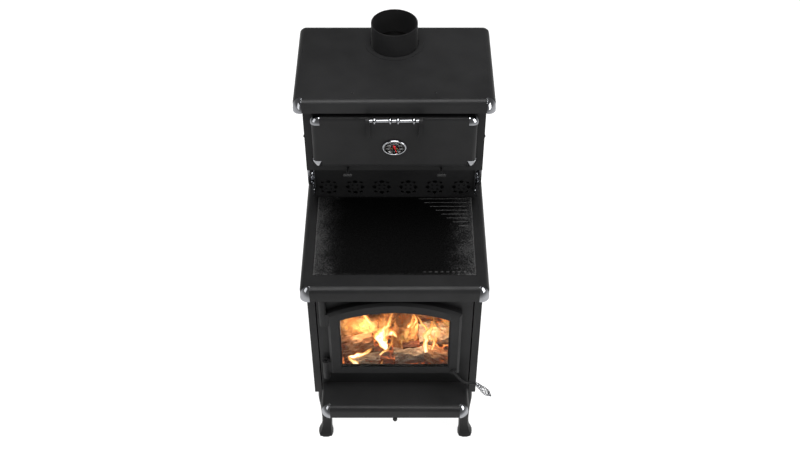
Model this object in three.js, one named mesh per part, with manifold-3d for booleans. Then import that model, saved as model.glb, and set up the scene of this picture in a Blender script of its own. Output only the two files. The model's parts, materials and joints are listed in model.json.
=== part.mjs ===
// A wood cookstove: an arched firebox door over an ash shelf, a cast cooktop,
// and a warming oven under a roof, standing on four cabriole legs.
// Millimetres, +Z up, +X to the right of someone facing the door, +Y to the back.
// While building, x = 0 is the middle, y = 0 the cooktop's front edge and z = 0 the floor.

import * as THREE from 'three';
import { mergeVertices } from 'three/addons/utils/BufferGeometryUtils.js';
import Module from 'manifold-3d';

const wasm = await Module();
wasm.setup();

// ---------------------------------------------------------------- driving dimensions

const GAP = 0.3; // between pieces that touch
const SLIP = 0.8; // each side, where a piece drops into an opening
const RUN = 0.5; // radial, round a shaft that turns or slides
const FAR = 3000; // a cutter's reach past the whole stove

// Legs
const LEG_HEIGHT = 298.5;
const LEG_KNEE_UP = 230;
const LEG_ANKLE_UP = 92;
const LEG_FOOT_HALF = 28;
const LEG_ANKLE_HALF = 19;
const LEG_KNEE_HALF = 27;
const LEG_FOOT_IN = 26.5; // middle of a foot inside the shields' outer face
const LEG_ANKLE_IN = 33.5;
const LEG_KNEE_IN = 34.5;
const LEG_FOOT_BACK = 29; // middle of a front foot behind the body's front
const LEG_RING_SIDES = 12;
const LEG_SQUARENESS = 3.4; // exponent of a leg's section: 2 is round, larger is squarer

// Body
const BODY_FRONT = 43; // the body's front face behind the cooktop's front edge
const BODY_HALF = 268;
const BASE_THICK = 5;
const SHELL_WALL = 5;
const SHIELD_STAND_OFF = 29.5; // a side shield's outer face beside the body
const SHIELD_SHEET = 2;
const SHIELD_BEHIND = 10; // the side shields' back behind the body's
const SHIELD_DROP = 4; // the shields reach this far below the base plate
const SHIELD_FLANGE = 25.5;
const SHIELD_REAR_IN = 6; // the rear shield stops short of the side shields' corners

// Firebox lining
const BRICK_THICK = 30;
const BRICK_HEIGHT = 360; // of the side and rear bricks
const BRICK_COUNT_SIDE = 4;
const BRICK_COUNT_REAR = 4;
const BRICK_COUNT_FLOOR = 5;
const BRICK_GROOVE = 3;
const FIREBOX_DEPTH = 480;
const TUBE_RADIUS = 10;
const TUBE_WALL = 2;
const TUBES_BACK = [147, 357]; // behind the body's front
const BAFFLE_THICK = 12;
const BAFFLE_SET_BACK = 97; // behind the body's front
const BAFFLE_DEPTH = 360;
const ASH_DROP_HALF = 35;
const ASH_DROP_BACK = 60; // from the front of the brick floor
const ASH_DROP_DEPTH = 50;
const LINING_SET_BACK = 12; // behind the shell's front wall

// Firebox door
const DOOR_IN = 37; // a door edge inside the body's side
const DOOR_UP = 138.5; // the door's lower edge above the legs
const DOOR_SIDE_HEIGHT = 325;
const DOOR_RISE = 60; // of the arch over the sides
const DOOR_THICK = 28;
const DOOR_CHAMFER = 9;
const WINDOW_IN = 43; // a window edge inside the door's edge
const WINDOW_UP = 39; // the window's lower edge above the door's
const WINDOW_SIDE_HEIGHT = 254;
const WINDOW_RISE = 41.5;
const WINDOW_BEVEL = 6;
const DOOR_LAP = 13; // the door covers the edge of its opening by this much
const GLASS_THICK = 5;
const GLASS_LAP = 9;
const RETAINER_WIDE = 15;
const RETAINER_THICK = 8;
const ARCH_STEPS = 14;

// Firebox door hinge, its heights above the door's lower edge
const HINGE_BESIDE = 16; // hinge axis beside the door's edge
const HINGE_SET_OUT = 15; // hinge axis in front of the body
const BARREL_RADIUS = 12.5;
const BARREL_SIDES = 16;
const PIN_RADIUS = 5;
const UPPER_BARREL_UP = 403;
const UPPER_JOINT_UP = 324;
const UPPER_LUG_UP = 265;
const LOWER_LUG_UP = 64;
const LOWER_JOINT_UP = 6;
const LOWER_BARREL_DOWN = 29;
const PIN_SHORT = 8; // a pin ends this far inside its lug
const PIN_ROOT = 5; // and starts this far inside its barrel
const LUG_WEB_HALF = 8;

// Firebox door handle
const SPINDLE_IN = 21; // inside the door's edge
const SPINDLE_UP = 21; // above the door's lower edge
const SPINDLE_RADIUS = 6;
const BOSS_RADIUS = 10;
const BOSS_LONG = 8;
const LEVER_RADIUS = 4.6;
const LEVER_STEPS = 16;
// The lever's bends and the grip's tip: across, forward and up from the spindle at the door's face
const LEVER_BENDS = [[16, 16.5, -15], [42, 20.5, -41], [64, 24.5, -39], [81, 29.5, -34]];
const GRIP_TIP = [135, 71.5, -55];
const CAM_LONG = 26;
const CAM_WIDE = 12;
const CAM_THICK = 6;
const CAM_CLEAR = 2; // behind the front wall
const CAM_ANGLE = 95; // degrees above the +X direction
const GRIP_WIRES = 6;
const GRIP_WIRE_RADIUS = 1.2;
const GRIP_TWIST = 200; // degrees from end to end
const GRIP_STEPS = 11;
const GRIP_WIRE_SIDES = 5;
const GRIP_HALF_WIDE = 13;
const GRIP_WIDEST = 0.64; // share of the length
const GRIP_AFTER_BEND = 4; // the collar starts this far past the lever's last bend
const GRIP_COLLAR_LONG = 7;
const GRIP_COLLAR_WALL = 2.6;
const GRIP_TIP_RADIUS = 3.4;

// Ash shelf and air control
const SHELF_SHORT = 1; // a shelf end inside the body's side
const SHELF_FORWARD = 81; // in front of the cooktop's front edge
const SHELF_UP = 56.5; // above the legs
const SHELF_LIP = 50;
const SHELF_NOSE = 17;
const SHELF_SHEET = 3;
const SHELF_CORNER = 36;
const SHELF_CAP = 32; // a cap's reach in from the shelf's side
const SHELF_CAP_BACK = 26; // and back from its front edge
const SHELF_UNDER = 60; // the shelf's blank reaches this far behind the body's front
const AIR_ROD_DROP = 5.8; // below the base plate
const AIR_ROD_RADIUS = 3.5;
const AIR_KNOB_RADIUS = 8.5;
const AIR_KNOB_OUT = 118; // in front of the body
const AIR_BOX_HALF = 60;
const AIR_BOX_SET_BACK = 17; // behind the body's front
const AIR_BOX_DEPTH = 160;
const AIR_BOX_DEEP = 30;
const AIR_BOX_SHEET = 2;
const AIR_SLIDE_HALF = 50;
const AIR_TRAVEL = 50;
const AIR_SLIDE_HALF_THICK = 1;
const AIR_INLET_HALF = 30;
const AIR_INLET_FRONT = 60; // from the box's front
const AIR_INLET_BACK = 20; // from the box's back

// Cooktop
const COOKTOP_PAST = 18.5; // past a side shield's outer face
const COOKTOP_DEPTH = 675;
const COOKTOP_UP = 609.5; // above the legs
const COOKTOP_BEHIND = 35; // past the body's back
const COOKTOP_LIP = 55;
const COOKTOP_NOSE = 19;
const COOKTOP_CORNER = 26;
const COOKTOP_THICK = 4;
const COOKTOP_CAP = 33;
const COOKTOP_CAP_BACK = 20;
const PLATE_IN = 43; // inside the cooktop's side
const PLATE_FRONT = 71;
const PLATE_BEFORE = 4; // its back before the backsplash
const PLATE_PROUD = 3;
const PLATE_EDGE = 2;
const HOB_LAP = 9; // the plate rests this far over the firebox's top, front and back
const HOB_LAP_SIDE = 14;

// Rolled edges and corner caps
const NOSE_STEPS = 3;
const CORNER_STEPS = 3;
const CAP_PROUD = 1.2;
const CAP_SUNK = 1; // the pan is pressed in this far under a cap
const CAP_BELOW = 1;
const CAP_STEPS = 6;
const PAN_DROP = 120; // height of the rolled block that a pan is cut from, under its rolled edge

// Smoke riser and backsplash
const SPLASH_IN = 34; // inside the cooktop's side
const SPLASH_DEPTH = 195;
const SPLASH_BEFORE = 30; // its back before the cooktop's back edge
const SPLASH_SHEET = 2;
const RISER_IN = 47; // inside the backsplash's side
const RISER_DEPTH = 162;
const RISER_BEFORE = 35; // its back before the cooktop's back edge
const RISER_WALL = 3;
const RISER_FLANGE = 14;
const ROSETTE_FIRST = 47; // from the middle
const ROSETTE_PITCH = 94.5;
const ROSETTE_UP = 48; // above the cooktop

// Scroll brackets
const BRACKET_THICK = 9;
const BRACKET_STRIP = 7;
const BRACKET_FOOT_UP = 27; // above the cooktop
const BRACKET_FRONT_IN = 4; // behind the oven's front
const BRACKET_LAP = 20; // the back rail lies this far along the backsplash's side
// Per scroll, from the top one: forward of the backsplash, below the oven, outer and inner radius
const SCROLLS = [[100, 41, 34, 12], [38, 119, 36, 13], [25, 204, 24, 9]];
const SCROLL_TURNS = [[95, -320], [95, -320], [80, -300]]; // degrees, from and to
const SCROLL_STEPS = 16;
const SWEEP = [[128, 77], [78, 113], [62, 169], [38, 221]]; // forward and below, as for the scrolls
const SWEEP_STEPS = 12;

// Warming oven
const OVEN_UP = 261; // above the cooktop
const OVEN_HEIGHT = 316.2;
const OVEN_PAST = 10; // past the backsplash at the sides and back
const OVEN_FORWARD = 146; // in front of the backsplash
const OVEN_WALL = 3;
const CAVITY_IN = 52; // inside the cabinet's side
const CAVITY_UP = 56; // above the cabinet's underside
const CAVITY_HEIGHT = 180;
const CAVITY_DEPTH = 296;
const LINER_SHEET = 2;
const RUNNER_UP = 73; // above the cavity's floor
const RUNNER_WIDE = 8;
const RUNNER_THICK = 3;
const RACK_WIRE = 3;
const RACK_RODS = 9;

// Oven door
const OVEN_DOOR_IN = 27; // inside the cabinet's side
const OVEN_DOOR_UP = 41; // above the cabinet's underside
const OVEN_DOOR_HEIGHT = 208;
const OVEN_DOOR_THICK = 30;
const OVEN_DOOR_OFF = 2; // in front of the cabinet
const OVEN_DOOR_NOSE = 13;
const OVEN_DOOR_CORNER = 24;
const OVEN_DOOR_SHEET = 2;
const OVEN_DOOR_CAP = 28;
const OVEN_CAP_PROUD = 2.2;
const OVEN_CAP_SHORT = 11; // the caps stop this far from the door's back, clear of the hinge pins
const OVEN_HINGE_UP = 5; // hinge axis above the door's lower edge
const OVEN_HINGE_IN = 6.5; // hinge axis in front of the door's back
const OVEN_PIN_RADIUS = 3;
const OVEN_PIN_LONG = 12;
const OVEN_EAR = 3;
const OVEN_EAR_HALF = 7;
const OVEN_EAR_FORWARD = 6; // in front of the hinge axis
const OVEN_HEEL = 4; // bevel at the door's lower back edge

// Oven door handle
const BAR_OUT = 34; // in front of the door
const BAR_UP = 17; // above the door's top
const BAR_HALF = 77;
const BAR_RADIUS = 5.5;
const BEAD_RADIUS = 12;
const BEAD_LONG = 13;
const BEAD_X = [12.3, 61.5];
const ARM_FOOT_LOW = 74; // below the door's top
const ARM_FOOT_HIGH = 22;
const ARM_WIDE = 12;
const ARM_STRIP = 9;

// Oven gauge
const GAUGE_UP = 89; // above the door's lower edge
const GAUGE_HALF_WIDE = 40;
const GAUGE_HALF_HIGH = 31;
const GAUGE_RING = 6;
const GAUGE_PROUD = 7;
const GAUGE_STEPS = 28;
const GAUGE_DIAL_THICK = 2;
const GAUGE_GLASS_THICK = 1.5;
const NEEDLE_LONG = 21;
const NEEDLE_TAIL = 8;
const NEEDLE_WIDE = 2.4;
const NEEDLE_THICK = 1;
const NEEDLE_ANGLE = -72; // degrees above the +X direction
const NEEDLE_HUB = 4;
const NEEDLE_SPINDLE = 1.2;

// Damper rods
const DAMPER_X = 155;
const DAMPER_UP = 9; // above the cabinet's underside
const DAMPER_ROD_RADIUS = 3.5;
const DAMPER_KNOB_OUT = 35; // in front of the cabinet
const DAMPER_KNOB_RADIUS = 5.7;
const DAMPER_KNOB_LONG = 29;
const DAMPER_ROD_IN = 146; // behind the cabinet's front
const DAMPER_PLATE_HALF = 55;
const DAMPER_PLATE_LONG = 90;
const DAMPER_PLATE_HALF_THICK = 1.5;

// Roof and flue
const ROOF_PAST = 25.5; // past the oven cabinet's sides
const ROOF_FORWARD = 38; // in front of it
const ROOF_BEHIND = 20; // behind it
const ROOF_LIP = 46;
const ROOF_NOSE = 16.5;
const ROOF_CORNER = 22;
const ROOF_SHEET = 2.5;
const ROOF_CAP = 28;
const ROOF_CAP_BACK = 22;
const FLUE_IN = 80; // the flue's middle in front of the cabinet's back
const FLUE_RADIUS = 76.5;
const FLUE_WALL = 2.5;
const FLUE_UP = 81; // above the roof
const FLUE_HOLE = 80.75;
const FLUE_RING = 96;
const FLUE_RING_HIGH = 1.5;
const FLUE_SIDES = 36;
const NOTCH_X = 227;
const NOTCH_WIDE = 14;
const NOTCH_DEEP = 7;

// Widths and depths worked out from the sizes above
const SHIELD_HALF = BODY_HALF + SHIELD_STAND_OFF;
const COOKTOP_HALF = SHIELD_HALF + COOKTOP_PAST;
const PLATE_HALF = COOKTOP_HALF - PLATE_IN;
const SPLASH_HALF = COOKTOP_HALF - SPLASH_IN;
const RISER_HALF = SPLASH_HALF - RISER_IN;
const OVEN_HALF = SPLASH_HALF + OVEN_PAST;
const CAVITY_HALF = OVEN_HALF - CAVITY_IN;
const OVEN_DOOR_HALF = OVEN_HALF - OVEN_DOOR_IN;
const ROOF_HALF = OVEN_HALF + ROOF_PAST;
const SHELF_HALF = BODY_HALF - SHELF_SHORT;
const SHELF_FRONT = -SHELF_FORWARD;
const DOOR_HALF = BODY_HALF - DOOR_IN;
const WINDOW_HALF = DOOR_HALF - WINDOW_IN;
const SPINDLE_X = DOOR_HALF - SPINDLE_IN;
const BODY_BACK = COOKTOP_DEPTH - COOKTOP_BEHIND;
const SHIELD_BACK = BODY_BACK + SHIELD_BEHIND;
const SPLASH_BACK = COOKTOP_DEPTH - SPLASH_BEFORE;
const SPLASH_FRONT = SPLASH_BACK - SPLASH_DEPTH;
const PLATE_BACK = SPLASH_FRONT - PLATE_BEFORE;
const RISER_BACK = COOKTOP_DEPTH - RISER_BEFORE;
const RISER_FRONT = RISER_BACK - RISER_DEPTH;
const OVEN_FRONT = SPLASH_FRONT - OVEN_FORWARD;
const OVEN_BACK = SPLASH_BACK + OVEN_PAST;
const ROOF_FRONT = OVEN_FRONT - ROOF_FORWARD;
const ROOF_BACK = OVEN_BACK + ROOF_BEHIND;
const FLUE_Y = OVEN_BACK - FLUE_IN;
const DOOR_BACK = BODY_FRONT - GAP - 0.2;
const DOOR_FRONT = DOOR_BACK - DOOR_THICK;
const HINGE_X = -DOOR_HALF - HINGE_BESIDE;
const HINGE_Y = BODY_FRONT - HINGE_SET_OUT;
const AIR_KNOB_Y = BODY_FRONT - AIR_KNOB_OUT;
const AIR_BOX_FRONT = BODY_FRONT + AIR_BOX_SET_BACK;
const AIR_BOX_BACK = AIR_BOX_FRONT + AIR_BOX_DEPTH;
const OVEN_DOOR_BACK = OVEN_FRONT - OVEN_DOOR_OFF;
const OVEN_DOOR_FRONT = OVEN_DOOR_BACK - OVEN_DOOR_THICK;
const OVEN_HINGE_Y = OVEN_DOOR_BACK - OVEN_HINGE_IN;
const BAR_Y = OVEN_DOOR_FRONT - BAR_OUT;
const DAMPER_KNOB_Y = OVEN_FRONT - DAMPER_KNOB_OUT;
const DAMPER_ROD_END = OVEN_FRONT + DAMPER_ROD_IN;

// Heights worked out from the sizes above
const BASE_BOTTOM = LEG_HEIGHT + GAP;
const BASE_TOP = BASE_BOTTOM + BASE_THICK;
const SHELL_BOTTOM = BASE_TOP + GAP;
const COOKTOP_TOP = LEG_HEIGHT + COOKTOP_UP;
const SHELL_TOP = COOKTOP_TOP - COOKTOP_THICK - GAP;
const SHELF_TOP = LEG_HEIGHT + SHELF_UP;
const AIR_ROD_Z = BASE_BOTTOM - AIR_ROD_DROP;
const DOOR_BOTTOM = LEG_HEIGHT + DOOR_UP;
const DOOR_SIDE_TOP = DOOR_BOTTOM + DOOR_SIDE_HEIGHT;
const DOOR_APEX = DOOR_SIDE_TOP + DOOR_RISE;
const WINDOW_BOTTOM = DOOR_BOTTOM + WINDOW_UP;
const WINDOW_SIDE_TOP = WINDOW_BOTTOM + WINDOW_SIDE_HEIGHT;
const WINDOW_APEX = WINDOW_SIDE_TOP + WINDOW_RISE;
const UPPER_BARREL_TOP = DOOR_BOTTOM + UPPER_BARREL_UP;
const UPPER_JOINT_Z = DOOR_BOTTOM + UPPER_JOINT_UP;
const UPPER_LUG_BOTTOM = DOOR_BOTTOM + UPPER_LUG_UP;
const LOWER_LUG_TOP = DOOR_BOTTOM + LOWER_LUG_UP;
const LOWER_JOINT_Z = DOOR_BOTTOM + LOWER_JOINT_UP;
const LOWER_BARREL_BOTTOM = DOOR_BOTTOM - LOWER_BARREL_DOWN;
const SPINDLE_Z = DOOR_BOTTOM + SPINDLE_UP;
const ROSETTE_Z = COOKTOP_TOP + ROSETTE_UP;
const OVEN_BOTTOM = COOKTOP_TOP + OVEN_UP;
const OVEN_TOP = OVEN_BOTTOM + OVEN_HEIGHT;
const ROOF_TOP = OVEN_TOP + GAP + ROOF_SHEET;
const FLUE_TOP = ROOF_TOP + FLUE_UP;
const CAVITY_BOTTOM = OVEN_BOTTOM + CAVITY_UP;
const CAVITY_TOP = CAVITY_BOTTOM + CAVITY_HEIGHT;
const RUNNER_Z = CAVITY_BOTTOM + RUNNER_UP;
const OVEN_DOOR_BOTTOM = OVEN_BOTTOM + OVEN_DOOR_UP;
const OVEN_DOOR_TOP = OVEN_DOOR_BOTTOM + OVEN_DOOR_HEIGHT;
const OVEN_HINGE_Z = OVEN_DOOR_BOTTOM + OVEN_HINGE_UP;
const BAR_Z = OVEN_DOOR_TOP + BAR_UP;
const GAUGE_Z = OVEN_DOOR_BOTTOM + GAUGE_UP;
const DAMPER_Z = OVEN_BOTTOM + DAMPER_UP;

// ---------------------------------------------------------------- materials

function finish(color, roughness, metalness, opacity = 1) {
  const transparent = opacity < 1;
  return new THREE.MeshStandardMaterial({ color, roughness, metalness, opacity, transparent });
}

const CAST_BLACK = finish(0x1c1c1d, 0.55, 0.4);
const STEEL_BLACK = finish(0x2b2b2c, 0.5, 0.3);
const COOKTOP_BLACK = finish(0x111112, 0.25, 0.5);
const CHROME = finish(0xc9ccd0, 0.12, 1);
const STAINLESS = finish(0x9b9c9e, 0.35, 0.9);
const BRICK = finish(0xb9a68a, 0.95, 0);
const GLASS = finish(0x2a1c12, 0.05, 0, 0.35);
const DIAL_BLACK = finish(0x151515, 0.6, 0);
const NEEDLE_RED = finish(0xb3201a, 0.5, 0);

// ---------------------------------------------------------------- solid helpers

const X_AXIS = new THREE.Vector3(1, 0, 0);
const Y_AXIS = new THREE.Vector3(0, 1, 0);
const Z_AXIS = new THREE.Vector3(0, 0, 1);

function toSolid(geometry) {
  const bare = geometry.clone();
  bare.deleteAttribute('normal');
  bare.deleteAttribute('uv');
  const merged = mergeVertices(bare, 1e-4);
  const corners = merged.index.array;
  const kept = [];
  for (let i = 0; i < corners.length; i += 3) {
    const [a, b, c] = [corners[i], corners[i + 1], corners[i + 2]];
    if (a !== b && b !== c && a !== c) kept.push(a, b, c);
  }
  const vertProperties = new Float32Array(merged.attributes.position.array);
  const triVerts = new Uint32Array(kept);
  return new wasm.Manifold(new wasm.Mesh({ numProp: 3, vertProperties, triVerts }));
}

function toGeometry(solid) {
  const mesh = solid.getMesh();
  const geometry = new THREE.BufferGeometry();
  geometry.setAttribute('position', new THREE.BufferAttribute(mesh.vertProperties, 3));
  geometry.setIndex(new THREE.BufferAttribute(mesh.triVerts, 1));
  geometry.computeVertexNormals();
  return geometry;
}

function join(solids) {
  return solids.reduce((whole, piece) => whole.add(piece));
}

function cut(solid, cutters) {
  return cutters.reduce((rest, cutter) => rest.subtract(cutter), solid);
}

function block(x0, x1, y0, y1, z0, z1) {
  const geometry = new THREE.BoxGeometry(x1 - x0, y1 - y0, z1 - z0);
  geometry.translate((x0 + x1) / 2, (y0 + y1) / 2, (z0 + z1) / 2);
  return toSolid(geometry);
}

// A round bar from one point to another.
function rod(from, to, radius, sides = 12) {
  const start = new THREE.Vector3(...from);
  const along = new THREE.Vector3(...to).sub(start);
  const geometry = new THREE.CylinderGeometry(radius, radius, along.length(), sides);
  geometry.applyQuaternion(new THREE.Quaternion().setFromUnitVectors(Y_AXIS, along.clone().normalize()));
  geometry.translate(...start.addScaledVector(along, 0.5).toArray());
  return toSolid(geometry);
}

// A pipe with a round bore, standing on +Z.
function pipe(x, y, z0, z1, outer, inner, sides) {
  const profile = [[inner, z0], [outer, z0], [outer, z1], [inner, z1], [inner, z0]];
  return revolve(profile, [x, y, 0], Z_AXIS, sides);
}

// A closed profile of [radius, height] turned about an axis through a point.
function revolve(profile, centre, axis, sides) {
  const points = profile.map(([radius, height]) => new THREE.Vector2(radius, height));
  const geometry = new THREE.LatheGeometry(points, sides);
  geometry.applyQuaternion(new THREE.Quaternion().setFromUnitVectors(Y_AXIS, axis));
  geometry.translate(...centre);
  return toSolid(geometry);
}

// An outline in the X-Y plane, raised from z0 to z1.
function slab(shape, z0, z1, curveSegments = 6) {
  const geometry = new THREE.ExtrudeGeometry(shape, { depth: z1 - z0, bevelEnabled: false, curveSegments });
  geometry.translate(0, 0, z0);
  return toSolid(geometry);
}

// An outline in the X-Z plane, running from y0 at the front to y1 at the back.
function panel(shape, y0, y1, curveSegments = 6) {
  const geometry = new THREE.ExtrudeGeometry(shape, { depth: y1 - y0, bevelEnabled: false, curveSegments });
  geometry.applyMatrix4(new THREE.Matrix4().makeBasis(X_AXIS, Z_AXIS, Y_AXIS.clone().negate()));
  geometry.translate(0, y1, 0);
  return toSolid(geometry);
}

// An outline in the Y-Z plane, running from x0 to x1.
function sidePlate(shape, x0, x1, curveSegments = 6) {
  const geometry = new THREE.ExtrudeGeometry(shape, { depth: x1 - x0, bevelEnabled: false, curveSegments });
  geometry.applyMatrix4(new THREE.Matrix4().makeBasis(Y_AXIS, Z_AXIS, X_AXIS));
  geometry.translate(x0, 0, 0);
  return toSolid(geometry);
}

// Closed rings of equal count, joined in order, with a fan over each convex end.
function loft(rings) {
  const count = rings[0].length;
  const positions = rings.flat().flatMap((point) => point.toArray());
  const index = [];
  for (let ring = 0; ring < rings.length - 1; ring += 1) {
    for (let i = 0; i < count; i += 1) {
      const a = ring * count + i;
      const b = ring * count + ((i + 1) % count);
      index.push(a, b, b + count, a, b + count, a + count);
    }
  }
  const last = (rings.length - 1) * count;
  for (let i = 1; i < count - 1; i += 1) {
    index.push(0, i + 1, i);
    index.push(last, last + i, last + i + 1);
  }
  const geometry = new THREE.BufferGeometry();
  geometry.setAttribute('position', new THREE.Float32BufferAttribute(positions, 3));
  geometry.setIndex(index);
  const solid = toSolid(geometry);
  return solid.volume() < 0 ? toSolid(flipped(geometry)) : solid;
}

function flipped(geometry) {
  const corners = [...geometry.index.array];
  for (let i = 0; i < corners.length; i += 3) {
    [corners[i + 1], corners[i + 2]] = [corners[i + 2], corners[i + 1]];
  }
  const turned = geometry.clone();
  turned.setIndex(corners);
  return turned;
}

function polygon(points) {
  return new THREE.Shape(points.map(([a, b]) => new THREE.Vector2(a, b)));
}

function roundedRectangle(width, depth, radius) {
  const [w, d] = [width / 2, depth / 2];
  const shape = new THREE.Shape();
  shape.absarc(w - radius, d - radius, radius, 0, Math.PI / 2);
  shape.absarc(-w + radius, d - radius, radius, Math.PI / 2, Math.PI);
  shape.absarc(-w + radius, -d + radius, radius, Math.PI, Math.PI * 1.5);
  shape.absarc(w - radius, -d + radius, radius, Math.PI * 1.5, Math.PI * 2);
  return shape;
}

// ---------------------------------------------------------------- rolled-edge pans and caps

// A block with a rolled upper edge all round; the outline grows by `grow` on every side.
function rolledBlock(size, grow) {
  const nose = size.nose + grow;
  const width = 2 * (size.half + grow);
  const depth = size.back - size.front + 2 * grow;
  const corner = Math.max(size.corner - size.nose, 0.5);
  const shape = roundedRectangle(width - 2 * nose, depth - 2 * nose, corner);
  const geometry = new THREE.ExtrudeGeometry(shape, {
    depth: PAN_DROP, bevelThickness: nose, bevelSize: nose,
    bevelSegments: NOSE_STEPS, curveSegments: CORNER_STEPS,
  });
  const top = size.top + grow;
  geometry.translate(0, (size.front + size.back) / 2, top - nose - PAN_DROP);
  return toSolid(geometry);
}

function below(top, bottom) {
  return block(-FAR, FAR, -FAR, FAR, bottom, top);
}

// The skin between two offsets of a pan's outline, from the lip's lower edge up.
function panSkin(size, inner, outer, bottom) {
  const skin = rolledBlock(size, outer).subtract(rolledBlock(size, inner));
  return skin.intersect(below(size.top + FAR, bottom));
}

// The pan: rolled edges above, open below, pressed in under its two corner caps.
function rolledPan(size) {
  const bottom = size.top - size.lip;
  const pan = panSkin(size, -size.sheet, 0, bottom);
  const pressed = panSkin(size, -CAP_SUNK, 1, bottom - 1);
  return cut(pan, [-1, 1].map((side) => pressed.intersect(capRegion(size, side, GAP))));
}

// A thin cap over one front corner of a pan.
function cornerCap(size, side) {
  const skin = panSkin(size, GAP - CAP_SUNK, CAP_PROUD, size.top - size.lip - CAP_BELOW);
  return skin.intersect(capRegion(size, side, 0));
}

// Where a cap lies: a quarter disc seen along the slope that halves the rolled edge, and all below it.
function capRegion(size, side, grow) {
  const reach = size.cap + grow;
  const outline = [[-grow, -FAR]];
  for (let i = 0; i <= CAP_STEPS; i += 1) {
    const angle = (Math.PI / 2) * (1 - i / CAP_STEPS);
    outline.push([reach * Math.cos(angle) - (i ? 0 : grow), reach * Math.sin(angle)]);
  }
  outline.push([FAR, 0], [FAR, -FAR]);
  const shape = polygon(outline.map(([out, up]) => [side * out, up]));
  const geometry = new THREE.ExtrudeGeometry(shape, { depth: 2 * FAR, bevelEnabled: false });
  geometry.translate(0, 0, -FAR);
  geometry.rotateX(Math.PI / 4);
  const drop = size.cap * Math.SQRT2 - size.capBack;
  geometry.translate(side * (size.half - size.cap), size.front, size.top - drop);
  return toSolid(geometry);
}

const ROOF_SIZE = {
  half: ROOF_HALF, front: ROOF_FRONT, back: ROOF_BACK, top: ROOF_TOP, lip: ROOF_LIP,
  nose: ROOF_NOSE, corner: ROOF_CORNER, sheet: ROOF_SHEET, cap: ROOF_CAP, capBack: ROOF_CAP_BACK,
};
const COOKTOP_SIZE = {
  half: COOKTOP_HALF, front: 0, back: COOKTOP_DEPTH, top: COOKTOP_TOP, lip: COOKTOP_LIP,
  nose: COOKTOP_NOSE, corner: COOKTOP_CORNER, sheet: COOKTOP_THICK,
  cap: COOKTOP_CAP, capBack: COOKTOP_CAP_BACK,
};
const SHELF_SIZE = {
  half: SHELF_HALF, front: SHELF_FRONT, back: BODY_FRONT + SHELF_UNDER, top: SHELF_TOP, lip: SHELF_LIP,
  nose: SHELF_NOSE, corner: SHELF_CORNER, sheet: SHELF_SHEET, cap: SHELF_CAP, capBack: SHELF_CAP_BACK,
};

// ---------------------------------------------------------------- scene graph

const stove = new THREE.Group();
let facets = 0;

function add(name, solid, material) {
  const mesh = new THREE.Mesh(toGeometry(solid), material);
  mesh.name = name;
  facets += solid.numTri();
  stove.add(mesh);
}

function forSides(make) {
  make('left', -1);
  make('right', 1);
}

// ---------------------------------------------------------------- legs and body

// One cabriole leg: rings of a rounded square that lean out at the knee and foot.
function legSolid(side, end) {
  const knee = LEG_KNEE_UP;
  const ankle = LEG_ANKLE_UP;
  const footOut = SHIELD_HALF - LEG_FOOT_IN;
  const ankleOut = SHIELD_HALF - LEG_ANKLE_IN;
  const kneeOut = SHIELD_HALF - LEG_KNEE_IN;
  const levels = [
    [0, footOut, LEG_FOOT_HALF],
    [12, footOut, LEG_FOOT_HALF],
    [30, footOut - 3, LEG_FOOT_HALF - 6],
    [ankle * 0.6, ankleOut + 1, LEG_ANKLE_HALF + 0.5],
    [ankle, ankleOut, LEG_ANKLE_HALF],
    [(ankle + knee) / 2, ankleOut - 1, (LEG_ANKLE_HALF + LEG_KNEE_HALF) / 2 - 1],
    [knee - 22, kneeOut, LEG_KNEE_HALF - 1],
    [knee, kneeOut, LEG_KNEE_HALF],
    [LEG_HEIGHT, kneeOut - 2, LEG_KNEE_HALF - 1],
  ];
  const footY = LEG_FOOT_BACK + BODY_FRONT;
  const middleY = (BODY_FRONT + SHIELD_BACK) / 2;
  const rings = levels.map(([z, out, half]) => {
    const x = side * out;
    const y = middleY + end * (middleY - footY - (footOut - out));
    return roundedRing(x, y, z, half);
  });
  return loft(rings);
}

function roundedRing(x, y, z, half) {
  const ring = [];
  for (let i = 0; i < LEG_RING_SIDES; i += 1) {
    const angle = ((i + 0.5) / LEG_RING_SIDES) * 2 * Math.PI;
    const [c, s] = [Math.cos(angle), Math.sin(angle)];
    const sum = Math.abs(c) ** LEG_SQUARENESS + Math.abs(s) ** LEG_SQUARENESS;
    const reach = half / sum ** (1 / LEG_SQUARENESS);
    ring.push(new THREE.Vector3(x + c * reach, y + s * reach, z));
  }
  return ring;
}

function buildLegs() {
  forSides((word, side) => {
    add(`leg_front_${word}`, legSolid(side, -1), CAST_BLACK);
    add(`leg_rear_${word}`, legSolid(side, 1), CAST_BLACK);
  });
}

// The base plate with the air inlet box folded under it.
function buildBase() {
  const half = SHIELD_HALF - SHIELD_SHEET - GAP;
  const front = BODY_FRONT + SHIELD_SHEET + GAP;
  const plate = block(-half, half, front, SHIELD_BACK - SHIELD_SHEET - GAP, BASE_BOTTOM, BASE_TOP);
  const low = BASE_BOTTOM - AIR_BOX_DEEP;
  const inner = AIR_BOX_HALF - AIR_BOX_SHEET;
  const box = block(-AIR_BOX_HALF, AIR_BOX_HALF, AIR_BOX_FRONT, AIR_BOX_BACK, low, BASE_BOTTOM + 1);
  const hollow = block(
    -inner, inner, AIR_BOX_FRONT + AIR_BOX_SHEET, AIR_BOX_BACK + 1, low + AIR_BOX_SHEET, BASE_BOTTOM,
  );
  const rodHole = rod([0, 0, AIR_ROD_Z], [0, AIR_BOX_BACK, AIR_ROD_Z], AIR_ROD_RADIUS + RUN);
  const inlet = airInlet(BASE_BOTTOM - 1, BASE_TOP + 1);
  add('base_plate', cut(join([plate, cut(box, [hollow])]), [rodHole, inlet]), STEEL_BLACK);
}

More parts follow.
